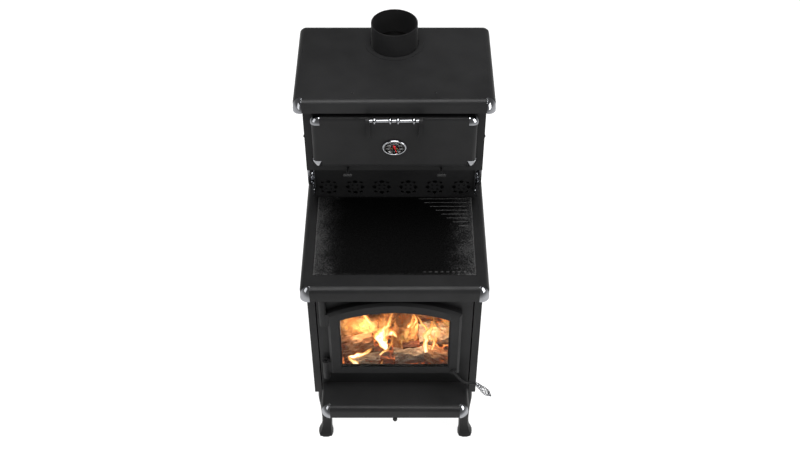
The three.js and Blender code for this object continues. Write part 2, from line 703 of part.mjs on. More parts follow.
function airInlet(z0, z1) {
  const front = AIR_BOX_FRONT + AIR_INLET_FRONT;
  return block(-AIR_INLET_HALF, AIR_INLET_HALF, front, AIR_BOX_BACK - AIR_INLET_BACK, z0, z1);
}

function archPoints(half, bottom, sideTop, apex, centreX = 0) {
  const rise = apex - sideTop;
  const radius = (half * half + rise * rise) / (2 * rise);
  const spread = Math.asin(half / radius);
  const points = [[centreX - half, bottom], [centreX + half, bottom]];
  for (let i = 0; i <= ARCH_STEPS; i += 1) {
    const angle = spread - (2 * spread * i) / ARCH_STEPS;
    points.push([centreX + radius * Math.sin(angle), apex - radius + radius * Math.cos(angle)]);
  }
  return points;
}

function doorArch(inset) {
  return archPoints(DOOR_HALF - inset, DOOR_BOTTOM + inset, DOOR_SIDE_TOP - inset, DOOR_APEX - inset);
}

function windowArch(grow) {
  return archPoints(
    WINDOW_HALF + grow, WINDOW_BOTTOM - grow, WINDOW_SIDE_TOP + grow, WINDOW_APEX + grow,
  );
}

function ringAt(points, y) {
  return points.map(([x, z]) => new THREE.Vector3(x, y, z));
}

// The firebox shell: five welded walls, the door opening, and a top with two openings.
function buildFireboxShell() {
  const inner = BODY_HALF - SHELL_WALL;
  const whole = block(-BODY_HALF, BODY_HALF, BODY_FRONT, BODY_BACK, SHELL_BOTTOM, SHELL_TOP);
  const hollow = block(
    -inner, inner, BODY_FRONT + SHELL_WALL, BODY_BACK - SHELL_WALL,
    SHELL_BOTTOM + SHELL_WALL, SHELL_TOP - SHELL_WALL,
  );
  const doorway = panel(polygon(doorArch(DOOR_LAP)), BODY_FRONT - 1, BODY_FRONT + SHELL_WALL + 1);
  const hob = block(
    -PLATE_HALF + HOB_LAP_SIDE, PLATE_HALF - HOB_LAP_SIDE, PLATE_FRONT + HOB_LAP, PLATE_BACK - HOB_LAP,
    SHELL_TOP - SHELL_WALL - 1, SHELL_TOP + 1,
  );
  const smoke = riserPassage(SHELL_TOP - SHELL_WALL - 1, SHELL_TOP + 1);
  const inlet = airInlet(SHELL_BOTTOM - 1, SHELL_BOTTOM + SHELL_WALL + 1);
  add('firebox_shell', cut(whole, [hollow, doorway, hob, smoke, inlet]), STEEL_BLACK);
}

function riserPassage(z0, z1) {
  const half = RISER_HALF - RISER_WALL;
  return block(-half, half, RISER_FRONT + RISER_WALL, RISER_BACK - RISER_WALL, z0, z1);
}

// A slab of firebrick with a groove at each joint between its bricks.
function brickSlab(x0, x1, y0, y1, z0, z1, grooves) {
  return cut(block(x0, x1, y0, y1, z0, z1), grooves);
}

function buildFirebricks() {
  const inner = BODY_HALF - SHELL_WALL - GAP;
  const front = BODY_FRONT + SHELL_WALL + LINING_SET_BACK;
  const back = front + FIREBOX_DEPTH;
  const floor = SHELL_BOTTOM + SHELL_WALL + GAP;
  const floorTop = floor + BRICK_THICK;
  const wallBottom = floorTop + GAP;
  const wallTop = wallBottom + BRICK_HEIGHT;
  const deep = BRICK_GROOVE;
  const floorGrooves = [];
  for (let i = 1; i < BRICK_COUNT_FLOOR; i += 1) {
    const x = -inner + (2 * inner * i) / BRICK_COUNT_FLOOR;
    floorGrooves.push(block(x - deep / 2, x + deep / 2, front - 1, back + 1, floorTop - deep, floorTop + 1));
  }
  const dropFront = front + ASH_DROP_BACK;
  const drop = block(
    -ASH_DROP_HALF, ASH_DROP_HALF, dropFront, dropFront + ASH_DROP_DEPTH, floor - 1, floorTop + 1,
  );
  const floorCuts = [...floorGrooves, drop];
  add('firebrick_floor', brickSlab(-inner, inner, front, back, floor, floorTop, floorCuts), BRICK);
  forSides((word, side) => {
    const face = side * (inner - BRICK_THICK);
    const [x0, x1] = side < 0 ? [-inner, face] : [face, inner];
    const grooves = [];
    for (let i = 1; i < BRICK_COUNT_SIDE; i += 1) {
      const y = front + (FIREBOX_DEPTH * i) / BRICK_COUNT_SIDE;
      grooves.push(block(face - deep, face + deep, y - deep / 2, y + deep / 2, wallBottom - 1, wallTop + 1));
    }
    add(`firebrick_${word}`, brickSlab(x0, x1, front, back, wallBottom, wallTop, grooves), BRICK);
  });
  const half = inner - BRICK_THICK - GAP;
  const rearFace = back - BRICK_THICK;
  const rearGrooves = [];
  for (let i = 1; i < BRICK_COUNT_REAR; i += 1) {
    const x = -half + (2 * half * i) / BRICK_COUNT_REAR;
    rearGrooves.push(block(
      x - deep / 2, x + deep / 2, rearFace - 1, rearFace + deep, wallBottom - 1, wallTop + 1,
    ));
  }
  add('firebrick_rear', brickSlab(-half, half, rearFace, back, wallBottom, wallTop, rearGrooves), BRICK);
  return wallTop;
}

// Two air tubes lie across the side bricks, and the baffle rests on them.
function buildBaffle(brickTop) {
  const half = BODY_HALF - SHELL_WALL - GAP;
  const tubeZ = brickTop + GAP + TUBE_RADIUS;
  TUBES_BACK.forEach((setBack, i) => {
    const y = BODY_FRONT + setBack;
    const tube = rod([-half, y, tubeZ], [half, y, tubeZ], TUBE_RADIUS);
    const bore = rod([-half - 1, y, tubeZ], [half + 1, y, tubeZ], TUBE_RADIUS - TUBE_WALL);
    add(`air_tube_${i + 1}`, tube.subtract(bore), STAINLESS);
  });
  const low = tubeZ + TUBE_RADIUS + GAP;
  const front = BODY_FRONT + BAFFLE_SET_BACK;
  add('baffle_plate', block(-half, half, front, front + BAFFLE_DEPTH, low, low + BAFFLE_THICK), BRICK);
}

// Folded sheets that stand off the sides and back.
function buildHeatShields() {
  const low = BASE_BOTTOM - SHIELD_DROP;
  const inside = SHIELD_HALF - SHIELD_FLANGE;
  forSides((word, side) => {
    const outline = polygon([
      [side * inside, BODY_FRONT], [side * SHIELD_HALF, BODY_FRONT],
      [side * SHIELD_HALF, SHIELD_BACK], [side * inside, SHIELD_BACK],
      [side * inside, SHIELD_BACK - SHIELD_SHEET],
      [side * (SHIELD_HALF - SHIELD_SHEET), SHIELD_BACK - SHIELD_SHEET],
      [side * (SHIELD_HALF - SHIELD_SHEET), BODY_FRONT + SHIELD_SHEET],
      [side * inside, BODY_FRONT + SHIELD_SHEET],
    ]);
    add(`heat_shield_${word}`, slab(outline, low, SHELL_TOP), STEEL_BLACK);
  });
  const back = SHIELD_BACK + GAP;
  const half = SHIELD_HALF - SHIELD_REAR_IN;
  add('heat_shield_rear', block(-half, half, back, back + SHIELD_SHEET, low, SHELL_TOP), STEEL_BLACK);
}

// ---------------------------------------------------------------- firebox door

// A hinge barrel on the body with its pin reaching into the door's lug.
function hingeSolid(barrelLow, barrelHigh, pinLow, pinHigh) {
  const barrel = rod(
    [HINGE_X, HINGE_Y, barrelLow], [HINGE_X, HINGE_Y, barrelHigh], BARREL_RADIUS, BARREL_SIDES,
  );
  const web = BARREL_RADIUS * 0.7;
  const foot = block(HINGE_X - web, HINGE_X + web, HINGE_Y, BODY_FRONT - GAP, barrelLow, barrelHigh);
  const pin = rod([HINGE_X, HINGE_Y, pinLow], [HINGE_X, HINGE_Y, pinHigh], PIN_RADIUS);
  return join([barrel, foot, pin]);
}

function lugSolid(low, high) {
  const barrel = rod([HINGE_X, HINGE_Y, low], [HINGE_X, HINGE_Y, high], BARREL_RADIUS, BARREL_SIDES);
  const web = block(HINGE_X, -DOOR_HALF + 4, HINGE_Y - LUG_WEB_HALF, HINGE_Y + LUG_WEB_HALF, low, high);
  return join([barrel, web]);
}

function lugBore(low, high) {
  return rod([HINGE_X, HINGE_Y, low - 1], [HINGE_X, HINGE_Y, high + 1], PIN_RADIUS + RUN);
}

function buildFireboxDoor() {
  const outer = loft([
    ringAt(doorArch(DOOR_CHAMFER), DOOR_FRONT),
    ringAt(doorArch(0), DOOR_FRONT + DOOR_CHAMFER),
    ringAt(doorArch(0), DOOR_BACK),
  ]);
  const opening = loft([
    ringAt(windowArch(WINDOW_BEVEL + 1), DOOR_FRONT - 1),
    ringAt(windowArch(0), DOOR_FRONT + WINDOW_BEVEL),
    ringAt(windowArch(0), DOOR_BACK + 1),
  ]);
  const glassFront = DOOR_FRONT + WINDOW_BEVEL + GAP;
  const retainerFront = glassFront + GLASS_THICK + GAP;
  const seat = panel(polygon(windowArch(GLASS_LAP + SLIP)), glassFront - GAP, DOOR_BACK + 1);
  const recess = panel(polygon(windowArch(RETAINER_WIDE + SLIP)), retainerFront - GAP, DOOR_BACK + 1);
  const lugs = [
    lugSolid(UPPER_LUG_BOTTOM, UPPER_JOINT_Z - GAP),
    lugSolid(LOWER_JOINT_Z + GAP, LOWER_LUG_TOP),
  ];
  const bores = [lugBore(UPPER_LUG_BOTTOM, UPPER_JOINT_Z), lugBore(LOWER_JOINT_Z, LOWER_LUG_TOP)];
  const spindleHole = rod(
    [SPINDLE_X, DOOR_FRONT - 1, SPINDLE_Z], [SPINDLE_X, DOOR_BACK + 1, SPINDLE_Z], SPINDLE_RADIUS + RUN,
  );
  const frame = cut(join([outer, ...lugs]), [opening, seat, recess, ...bores, spindleHole]);
  add('firebox_door_frame', frame, CAST_BLACK);
  add('firebox_glass', panel(polygon(windowArch(GLASS_LAP)), glassFront, glassFront + GLASS_THICK), GLASS);
  const retainer = cut(
    panel(polygon(windowArch(RETAINER_WIDE)), retainerFront, retainerFront + RETAINER_THICK),
    [panel(polygon(windowArch(0)), retainerFront - 1, retainerFront + RETAINER_THICK + 1)],
  );
  add('glass_retainer', retainer, STEEL_BLACK);
  buildDoorHinges();
}

function buildDoorHinges() {
  const upper = hingeSolid(
    UPPER_JOINT_Z, UPPER_BARREL_TOP, UPPER_LUG_BOTTOM + PIN_SHORT, UPPER_JOINT_Z + PIN_ROOT,
  );
  const lower = hingeSolid(
    LOWER_BARREL_BOTTOM, LOWER_JOINT_Z, LOWER_JOINT_Z - PIN_ROOT, LOWER_LUG_TOP - PIN_SHORT,
  );
  add('hinge_upper', upper, CAST_BLACK);
  add('hinge_lower', lower, CAST_BLACK);
}

// A point of the lever, from its offsets across, forward and up from the spindle.
function leverPoint([across, forward, up]) {
  return new THREE.Vector3(SPINDLE_X + across, DOOR_FRONT - forward, SPINDLE_Z + up);
}

// The lever: spindle through the door, cam behind it, bent rod into the grip's collar.
function buildLatch() {
  const front = DOOR_FRONT - GAP;
  const camFront = BODY_FRONT + SHELL_WALL + CAM_CLEAR;
  const spindle = rod(
    [SPINDLE_X, front - BOSS_LONG, SPINDLE_Z], [SPINDLE_X, camFront + CAM_THICK, SPINDLE_Z], SPINDLE_RADIUS,
  );
  const boss = rod([SPINDLE_X, front - BOSS_LONG, SPINDLE_Z], [SPINDLE_X, front, SPINDLE_Z], BOSS_RADIUS);
  const route = [[0, GAP + BOSS_LONG / 2, 0], ...LEVER_BENDS];
  const bend = new THREE.CatmullRomCurve3(route.map(leverPoint));
  const start = leverPoint(LEVER_BENDS[LEVER_BENDS.length - 1]);
  const along = leverPoint(GRIP_TIP).sub(start);
  const long = along.length() - GRIP_AFTER_BEND;
  along.normalize();
  start.addScaledVector(along, GRIP_AFTER_BEND);
  const end = start.clone().addScaledVector(along, GRIP_COLLAR_LONG);
  const lever = tubeAlong([...bend.getPoints(LEVER_STEPS), end], LEVER_RADIUS, 8, Z_AXIS);
  const turn = (CAM_ANGLE * Math.PI) / 180;
  const tip = [SPINDLE_X + CAM_LONG * Math.cos(turn), SPINDLE_Z + CAM_LONG * Math.sin(turn)];
  const camPlate = panel(stripShape([[SPINDLE_X, SPINDLE_Z], tip], CAM_WIDE), camFront, camFront + CAM_THICK);
  add('latch_lever', join([spindle, boss, camPlate, lever]), CAST_BLACK);
  add('handle_coil_grip', gripSolid(start, along, long), CHROME);
}

// Wires that coil part of a turn round the handle's axis, from a collar to a tip.
function gripSolid(start, along, long) {
  const bore = LEVER_RADIUS + GAP;
  const rim = bore + GRIP_COLLAR_WALL;
  const ring = [[bore, 0], [rim, 0], [rim, GRIP_COLLAR_LONG], [bore, GRIP_COLLAR_LONG], [bore, 0]];
  const collar = revolve(ring, start.toArray(), along, 12);
  const r = GRIP_TIP_RADIUS;
  const knob = [[0, -r], [r * 0.7, -r * 0.7], [r, 0], [r * 0.7, r * 0.7], [0, r]];
  const tip = revolve(knob, start.clone().addScaledVector(along, long - r).toArray(), along, 8);
  const wires = [];
  for (let wire = 0; wire < GRIP_WIRES; wire += 1) {
    wires.push(gripWire(start, along, long - r, (2 * Math.PI * wire) / GRIP_WIRES));
  }
  return join([collar, tip, ...wires]);
}

function gripWire(start, along, long, firstAngle) {
  const across = new THREE.Vector3().crossVectors(along, Z_AXIS).normalize();
  const upward = new THREE.Vector3().crossVectors(across, along);
  const root = GRIP_COLLAR_LONG / 3;
  const centres = [];
  for (let i = 0; i <= GRIP_STEPS; i += 1) {
    const share = i / GRIP_STEPS;
    const angle = firstAngle + (share * GRIP_TWIST * Math.PI) / 180;
    const radius = gripRadius(share);
    const centre = start.clone().addScaledVector(along, root + (long - root) * share);
    centre.addScaledVector(across, radius * Math.cos(angle));
    centres.push(centre.addScaledVector(upward, radius * Math.sin(angle)));
  }
  return tubeAlong(centres, GRIP_WIRE_RADIUS, GRIP_WIRE_SIDES, across);
}

// A wire's distance from the axis: from the collar's wall, out to the widest place, in to the tip.
function gripRadius(share) {
  const root = LEVER_RADIUS + GAP + GRIP_COLLAR_WALL / 2;
  const end = GRIP_TIP_RADIUS / 2;
  const widest = GRIP_HALF_WIDE - GRIP_WIRE_RADIUS;
  if (share < GRIP_WIDEST) {
    return root + (widest - root) * Math.sin((Math.PI / 2) * (share / GRIP_WIDEST)) ** 2;
  }
  return end + (widest - end) * Math.cos((Math.PI / 2) * ((share - GRIP_WIDEST) / (1 - GRIP_WIDEST)));
}

// A tube through a list of centres, its section square to the way between neighbours.
function tubeAlong(centres, radius, sides, upright) {
  const rings = centres.map((centre, i) => {
    const before = centres[Math.max(i - 1, 0)];
    const after = centres[Math.min(i + 1, centres.length - 1)];
    const along = after.clone().sub(before).normalize();
    const out = new THREE.Vector3().crossVectors(along, upright).normalize();
    const side = new THREE.Vector3().crossVectors(along, out);
    const ring = [];
    for (let k = 0; k < sides; k += 1) {
      const angle = (2 * Math.PI * k) / sides;
      const point = centre.clone().addScaledVector(out, radius * Math.cos(angle));
      ring.push(point.addScaledVector(side, radius * Math.sin(angle)));
    }
    return ring;
  });
  return loft(rings);
}

// A strip of even width along a line of points, as an outline.
function stripShape(points, width) {
  const left = [];
  const right = [];
  points.forEach(([a, b], i) => {
    const [a0, b0] = points[Math.max(i - 1, 0)];
    const [a1, b1] = points[Math.min(i + 1, points.length - 1)];
    const long = Math.hypot(a1 - a0, b1 - b0);
    const [na, nb] = [-(b1 - b0) / long, (a1 - a0) / long];
    left.push([a + (na * width) / 2, b + (nb * width) / 2]);
    right.unshift([a - (na * width) / 2, b - (nb * width) / 2]);
  });
  return polygon([...right, ...left].reverse());
}

// ---------------------------------------------------------------- ash shelf and air control

function buildAshShelf() {
  const pan = rolledPan(SHELF_SIZE);
  const inFront = block(-FAR, FAR, -FAR, BODY_FRONT - GAP, -FAR, FAR);
  add('ash_shelf', pan.intersect(inFront), STEEL_BLACK);
  forSides((word, side) => add(`ash_shelf_cap_${word}`, cornerCap(SHELF_SIZE, side), CHROME));
}

// The knob pulls a flat slide over the air inlet.
function buildAirControl() {
  const slideFront = AIR_BOX_FRONT + AIR_BOX_SHEET + AIR_TRAVEL + 8;
  const bar = rod([0, AIR_KNOB_Y, AIR_ROD_Z], [0, slideFront + 10, AIR_ROD_Z], AIR_ROD_RADIUS);
  const r = AIR_KNOB_RADIUS;
  const profile = [[0, -10], [r * 0.7, -9], [r, -4], [r * 0.9, 2], [r * 0.55, 7], [0, 7]];
  const knob = revolve(profile, [0, AIR_KNOB_Y, AIR_ROD_Z], Y_AXIS, 14);
  const slide = block(
    -AIR_SLIDE_HALF, AIR_SLIDE_HALF, slideFront, AIR_BOX_BACK - AIR_INLET_BACK,
    AIR_ROD_Z - AIR_SLIDE_HALF_THICK, AIR_ROD_Z + AIR_SLIDE_HALF_THICK,
  );
  add('air_control', join([bar, knob, slide]), CAST_BLACK);
}

// ---------------------------------------------------------------- cooktop

function buildCooktop() {
  const hob = block(
    -PLATE_HALF - SLIP, PLATE_HALF + SLIP, PLATE_FRONT - SLIP, PLATE_BACK + SLIP,
    COOKTOP_TOP - 30, COOKTOP_TOP + 1,
  );
  const smoke = riserPassage(COOKTOP_TOP - 30, COOKTOP_TOP + 1);
  add('cooktop_surround', cut(rolledPan(COOKTOP_SIZE), [hob, smoke]), STEEL_BLACK);
  forSides((word, side) => add(`cooktop_cap_${word}`, cornerCap(COOKTOP_SIZE, side), CHROME));
  const low = SHELL_TOP + GAP;
  const high = COOKTOP_TOP + PLATE_PROUD;
  const ring = (inset, z) => [
    [-PLATE_HALF + inset, PLATE_FRONT + inset], [PLATE_HALF - inset, PLATE_FRONT + inset],
    [PLATE_HALF - inset, PLATE_BACK - inset], [-PLATE_HALF + inset, PLATE_BACK - inset],
  ].map(([x, y]) => new THREE.Vector3(x, y, z));
  const plate = loft([ring(0, low), ring(0, high - PLATE_EDGE), ring(PLATE_EDGE, high)]);
  add('cooktop_plate', plate, COOKTOP_BLACK);
}

// ---------------------------------------------------------------- riser, backsplash and brackets

// One rosette: four spades on the cross, four teardrops and four leaves on the diagonals.
const SPADE = [[34.5, 0], [29.5, 6], [25, 9.5], [19.5, 6], [19.5, -6], [25, -9.5], [29.5, -6]];
const TEARDROP = [[12.5, 25], [19, 27.5], [26, 26], [27.5, 19.5], [22.5, 15.5], [18, 19.5]];
const LEAF = [[5, 5.5], [5.5, 11.5], [10.5, 13], [15, 9], [10, 6.5]];

function rosetteHoles(x, z) {
  const holes = [];
  for (let quarter = 0; quarter < 4; quarter += 1) {
    const turn = (quarter * Math.PI) / 2;
    const [c, s] = [Math.round(Math.cos(turn)), Math.round(Math.sin(turn))];
    holes.push(SPADE.map(([a, b]) => [x + c * a - s * b, z + s * a + c * b]));
    const [mx, mz] = [quarter % 2 ? -1 : 1, quarter < 2 ? 1 : -1];
    holes.push(TEARDROP.map(([a, b]) => [x + mx * a, z + mz * b]));
    holes.push(LEAF.map(([a, b]) => [x + mx * a, z + mz * b]));
  }
  return holes;
}

function buildBacksplash() {
  const low = COOKTOP_TOP + GAP;
  const high = OVEN_BOTTOM - GAP;
  const face = polygon([[-SPLASH_HALF, low], [SPLASH_HALF, low], [SPLASH_HALF, high], [-SPLASH_HALF, high]]);
  for (const column of [0, 1, 2]) {
    const x = ROSETTE_FIRST + column * ROSETTE_PITCH;
    for (const side of [-1, 1]) {
      for (const hole of rosetteHoles(side * x, ROSETTE_Z)) {
        face.holes.push(new THREE.Path(hole.map(([a, b]) => new THREE.Vector2(a, b))));
      }
    }
  }
  const front = panel(face, SPLASH_FRONT, SPLASH_FRONT + SPLASH_SHEET);
  const inner = SPLASH_HALF - SPLASH_SHEET;
  const returns = [
    block(-SPLASH_HALF, -inner, SPLASH_FRONT, SPLASH_BACK, low, high),
    block(inner, SPLASH_HALF, SPLASH_FRONT, SPLASH_BACK, low, high),
  ];
  add('backsplash', join([front, ...returns]), STEEL_BLACK);
}

function buildRiser() {
  const low = COOKTOP_TOP + GAP;
  const high = OVEN_BOTTOM - GAP;
  const walls = block(-RISER_HALF, RISER_HALF, RISER_FRONT, RISER_BACK, low, high);
  const wide = RISER_HALF + RISER_FLANGE;
  const flanges = [low, high - RISER_WALL].map((z) => (
    block(-wide, wide, RISER_FRONT - RISER_FLANGE, RISER_BACK, z, z + RISER_WALL)
  ));
  add('smoke_riser', cut(join([walls, ...flanges]), [riserPassage(low - 1, high + 1)]), STEEL_BLACK);
}

function scrollPoints([forward, drop, outer, inner], row) {
  const [y, z] = [SPLASH_FRONT - forward, OVEN_BOTTOM - drop];
  const [from, to] = SCROLL_TURNS[row];
  const points = [];
  for (let i = 0; i <= SCROLL_STEPS; i += 1) {
    const share = i / SCROLL_STEPS;
    const angle = ((from + (to - from) * share) * Math.PI) / 180;
    const radius = outer + (inner - outer) * share;
    points.push([y + radius * Math.cos(angle), z + radius * Math.sin(angle)]);
  }
  return points;
}

// A pierced scroll that carries the oven's overhang off the backsplash.
function buildScrollBrackets() {
  const top = OVEN_BOTTOM - GAP;
  const back = SPLASH_FRONT + BRACKET_LAP;
  const half = BRACKET_STRIP / 2;
  const rail = SPLASH_FRONT - half;
  const front = OVEN_FRONT + BRACKET_FRONT_IN;
  const foot = COOKTOP_TOP + BRACKET_FOOT_UP;
  const sweepPoints = [
    [front + 3, top - half],
    ...SWEEP.map(([forward, drop]) => [SPLASH_FRONT - forward, OVEN_BOTTOM - drop]),
    [rail, foot + 3],
  ];
  const sweep = new THREE.CatmullRomCurve3(sweepPoints.map(([y, z]) => new THREE.Vector3(y, z, 0)));
  const strips = [
    [[front, top - half], [back, top - half]],
    [[rail, foot], [rail, top - BRACKET_STRIP]],
    [[rail, foot + BRACKET_STRIP], [back, foot + BRACKET_STRIP]],
    ...SCROLLS.map(scrollPoints),
    sweep.getPoints(SWEEP_STEPS).map((point) => [point.x, point.y]),
  ];
  forSides((word, side) => {
    const x = side * (SPLASH_HALF + GAP + BRACKET_THICK / 2);
    const pieces = strips.map((points) => (
      sidePlate(stripShape(points, BRACKET_STRIP), x - BRACKET_THICK / 2, x + BRACKET_THICK / 2)
    ));
    add(`scroll_bracket_${word}`, join(pieces), CHROME);
  });
}

// ---------------------------------------------------------------- warming oven

function buildOvenCabinet() {
  const whole = block(-OVEN_HALF, OVEN_HALF, OVEN_FRONT, OVEN_BACK, OVEN_BOTTOM, OVEN_TOP);
  const inner = OVEN_HALF - OVEN_WALL;
  const hollow = block(
    -inner, inner, OVEN_FRONT + OVEN_WALL, OVEN_BACK - OVEN_WALL,
    OVEN_BOTTOM + OVEN_WALL, OVEN_TOP - OVEN_WALL,
  );
  const around = LINER_SHEET + GAP;
  const mouth = block(
    -CAVITY_HALF - around, CAVITY_HALF + around, OVEN_FRONT - 1, OVEN_FRONT + OVEN_WALL + 1,
    CAVITY_BOTTOM - around, CAVITY_TOP + around,
  );
  const flueHole = rod(
    [0, FLUE_Y, OVEN_TOP - 10], [0, FLUE_Y, OVEN_TOP + 10], FLUE_RADIUS - FLUE_WALL, FLUE_SIDES,
  );
  const smoke = riserPassage(OVEN_BOTTOM - 1, OVEN_BOTTOM + OVEN_WALL + 1);
  const damperHoles = [-1, 1].map((side) => rod(
    [side * DAMPER_X, OVEN_FRONT - 1, DAMPER_Z], [side * DAMPER_X, OVEN_FRONT + 10, DAMPER_Z],
    DAMPER_ROD_RADIUS + RUN,
  ));
  add('oven_cabinet', cut(whole, [hollow, mouth, flueHole, smoke, ...damperHoles]), STEEL_BLACK);
}

function buildOvenLiner() {
  const outer = CAVITY_HALF + LINER_SHEET;
  const back = OVEN_FRONT + CAVITY_DEPTH;
  const whole = block(
    -outer, outer, OVEN_FRONT, back + LINER_SHEET, CAVITY_BOTTOM - LINER_SHEET, CAVITY_TOP + LINER_SHEET,
  );
  const hollow = block(-CAVITY_HALF, CAVITY_HALF, OVEN_FRONT - 1, back, CAVITY_BOTTOM, CAVITY_TOP);
  const runners = [-1, 1].map((side) => {
    const [x0, x1] = side < 0
      ? [-outer, -CAVITY_HALF + RUNNER_WIDE]
      : [CAVITY_HALF - RUNNER_WIDE, outer];
    return block(x0, x1, OVEN_FRONT + 10, back, RUNNER_Z - RUNNER_THICK, RUNNER_Z);
  });
  add('oven_liner', join([whole.subtract(hollow), ...runners]), STAINLESS);
}

function buildOvenRack() {
  const z = RUNNER_Z + GAP + RACK_WIRE;
  const half = CAVITY_HALF - SLIP - RACK_WIRE;
  const front = OVEN_FRONT + 14;
  const back = OVEN_FRONT + CAVITY_DEPTH - 12;
  const wires = [
    rod([-half, front, z], [half, front, z], RACK_WIRE, 6),
    rod([-half, back, z], [half, back, z], RACK_WIRE, 6),
  ];
  for (let i = 0; i < RACK_RODS; i += 1) {
    const x = -half + (2 * half * i) / (RACK_RODS - 1);
    wires.push(rod([x, front, z], [x, back, z], RACK_WIRE * 0.9, 6));
  }
  add('oven_rack', join(wires), STAINLESS);
}

// The door pan: a rolled front edge, open at the back.
function ovenDoorForm(grow) {
  const nose = OVEN_DOOR_NOSE + grow;
  const width = 2 * (OVEN_DOOR_HALF + grow);
  const height = OVEN_DOOR_TOP - OVEN_DOOR_BOTTOM + 2 * grow;
  const shape = roundedRectangle(width - 2 * nose, height - 2 * nose, OVEN_DOOR_CORNER - OVEN_DOOR_NOSE);
  const geometry = new THREE.ExtrudeGeometry(shape, {
    depth: 80, bevelThickness: nose, bevelSize: nose, bevelSegments: NOSE_STEPS, curveSegments: CORNER_STEPS,
  });
  geometry.applyMatrix4(new THREE.Matrix4().makeBasis(X_AXIS, Z_AXIS, Y_AXIS.clone().negate()));
  const middle = (OVEN_DOOR_TOP + OVEN_DOOR_BOTTOM) / 2;
  geometry.translate(0, OVEN_DOOR_FRONT - grow + nose + 80, middle);
  return toSolid(geometry);
}

function buildOvenDoor() {
  const inFront = (y) => block(-FAR, FAR, -FAR, y, -FAR, FAR);
  const backPanelFront = OVEN_DOOR_BACK - OVEN_DOOR_SHEET;
  const heel = sidePlate(polygon([
    [OVEN_DOOR_BACK - OVEN_HEEL, OVEN_DOOR_BOTTOM - 1], [OVEN_DOOR_BACK + 1, OVEN_DOOR_BOTTOM - 1],
    [OVEN_DOOR_BACK + 1, OVEN_DOOR_BOTTOM + OVEN_HEEL],
  ]), -OVEN_DOOR_HALF - 1, OVEN_DOOR_HALF + 1);
  const gaugeHole = panel(ellipseShape(GAUGE_HALF_WIDE - GAUGE_RING + 1, GAUGE_HALF_HIGH - GAUGE_RING + 1),
    OVEN_DOOR_FRONT - 5, OVEN_DOOR_FRONT + OVEN_DOOR_SHEET + 1);
  const pinBores = [-1, 1].map((side) => rod(
    [side * (OVEN_DOOR_HALF - OVEN_PIN_LONG - 2), OVEN_HINGE_Y, OVEN_HINGE_Z],
    [side * (OVEN_DOOR_HALF + 1), OVEN_HINGE_Y, OVEN_HINGE_Z], OVEN_PIN_RADIUS + RUN,
  ));
  const pan = ovenDoorForm(0).intersect(inFront(OVEN_DOOR_BACK)).subtract(ovenDoorForm(-OVEN_DOOR_SHEET));
  const pinBlocks = [-1, 1].map((side) => {
    const [x0, x1] = side < 0
      ? [-OVEN_DOOR_HALF, -OVEN_DOOR_HALF + OVEN_PIN_LONG + 4]
      : [OVEN_DOOR_HALF - OVEN_PIN_LONG - 4, OVEN_DOOR_HALF];
    const lump = block(
      x0, x1, OVEN_HINGE_Y - OVEN_EAR_FORWARD, backPanelFront - GAP,
      OVEN_DOOR_BOTTOM, OVEN_HINGE_Z + OVEN_EAR_HALF,
    );
    return lump.intersect(ovenDoorForm(0));
  });
  add('oven_door_shell', cut(join([pan, ...pinBlocks]), [heel, gaugeHole, ...pinBores]), STEEL_BLACK);
  const inner = ovenDoorForm(-OVEN_DOOR_SHEET - GAP);
  const slice = block(-FAR, FAR, backPanelFront, OVEN_DOOR_BACK, -FAR, FAR);
  add('oven_door_liner', cut(inner.intersect(slice), [heel, ...pinBores]), STAINLESS);
  buildOvenDoorCaps(inFront);
}

function buildOvenDoorCaps(inFront) {
  const shell = ovenDoorForm(OVEN_CAP_PROUD).subtract(ovenDoorForm(GAP));
  const skin = shell.intersect(inFront(OVEN_DOOR_BACK - OVEN_CAP_SHORT));
  forSides((word, side) => {
    const edge = OVEN_DOOR_HALF + 10;
    const [x0, x1] = side < 0
      ? [-edge, -OVEN_DOOR_HALF + OVEN_DOOR_CAP]
      : [OVEN_DOOR_HALF - OVEN_DOOR_CAP, edge];
    const high = block(x0, x1, -FAR, FAR, OVEN_DOOR_TOP - OVEN_DOOR_CAP, OVEN_DOOR_TOP + 10);
    const low = block(x0, x1, -FAR, FAR, OVEN_DOOR_BOTTOM - 10, OVEN_DOOR_BOTTOM + OVEN_DOOR_CAP);
    add(`oven_door_cap_top_${word}`, skin.intersect(high), CHROME);
    add(`oven_door_cap_bottom_${word}`, skin.intersect(low), CHROME);
  });
}

// An ear on the cabinet with the pin that the door turns on.
function buildOvenHinges() {
  forSides((word, side) => {
    const near = OVEN_DOOR_HALF + OVEN_CAP_PROUD + GAP + 1;
    const [x0, x1] = side < 0 ? [-near - OVEN_EAR, -near] : [near, near + OVEN_EAR];
    const ear = block(
      x0, x1, OVEN_HINGE_Y - OVEN_EAR_FORWARD, OVEN_FRONT - GAP,
      OVEN_HINGE_Z - OVEN_EAR_HALF, OVEN_HINGE_Z + OVEN_EAR_HALF,
    );
    const pin = rod(
      [side * (near + 1), OVEN_HINGE_Y, OVEN_HINGE_Z],
      [side * (OVEN_DOOR_HALF - OVEN_PIN_LONG), OVEN_HINGE_Y, OVEN_HINGE_Z], OVEN_PIN_RADIUS,
    );
    add(`oven_hinge_${word}`, join([ear, pin]), STEEL_BLACK);
  });
}

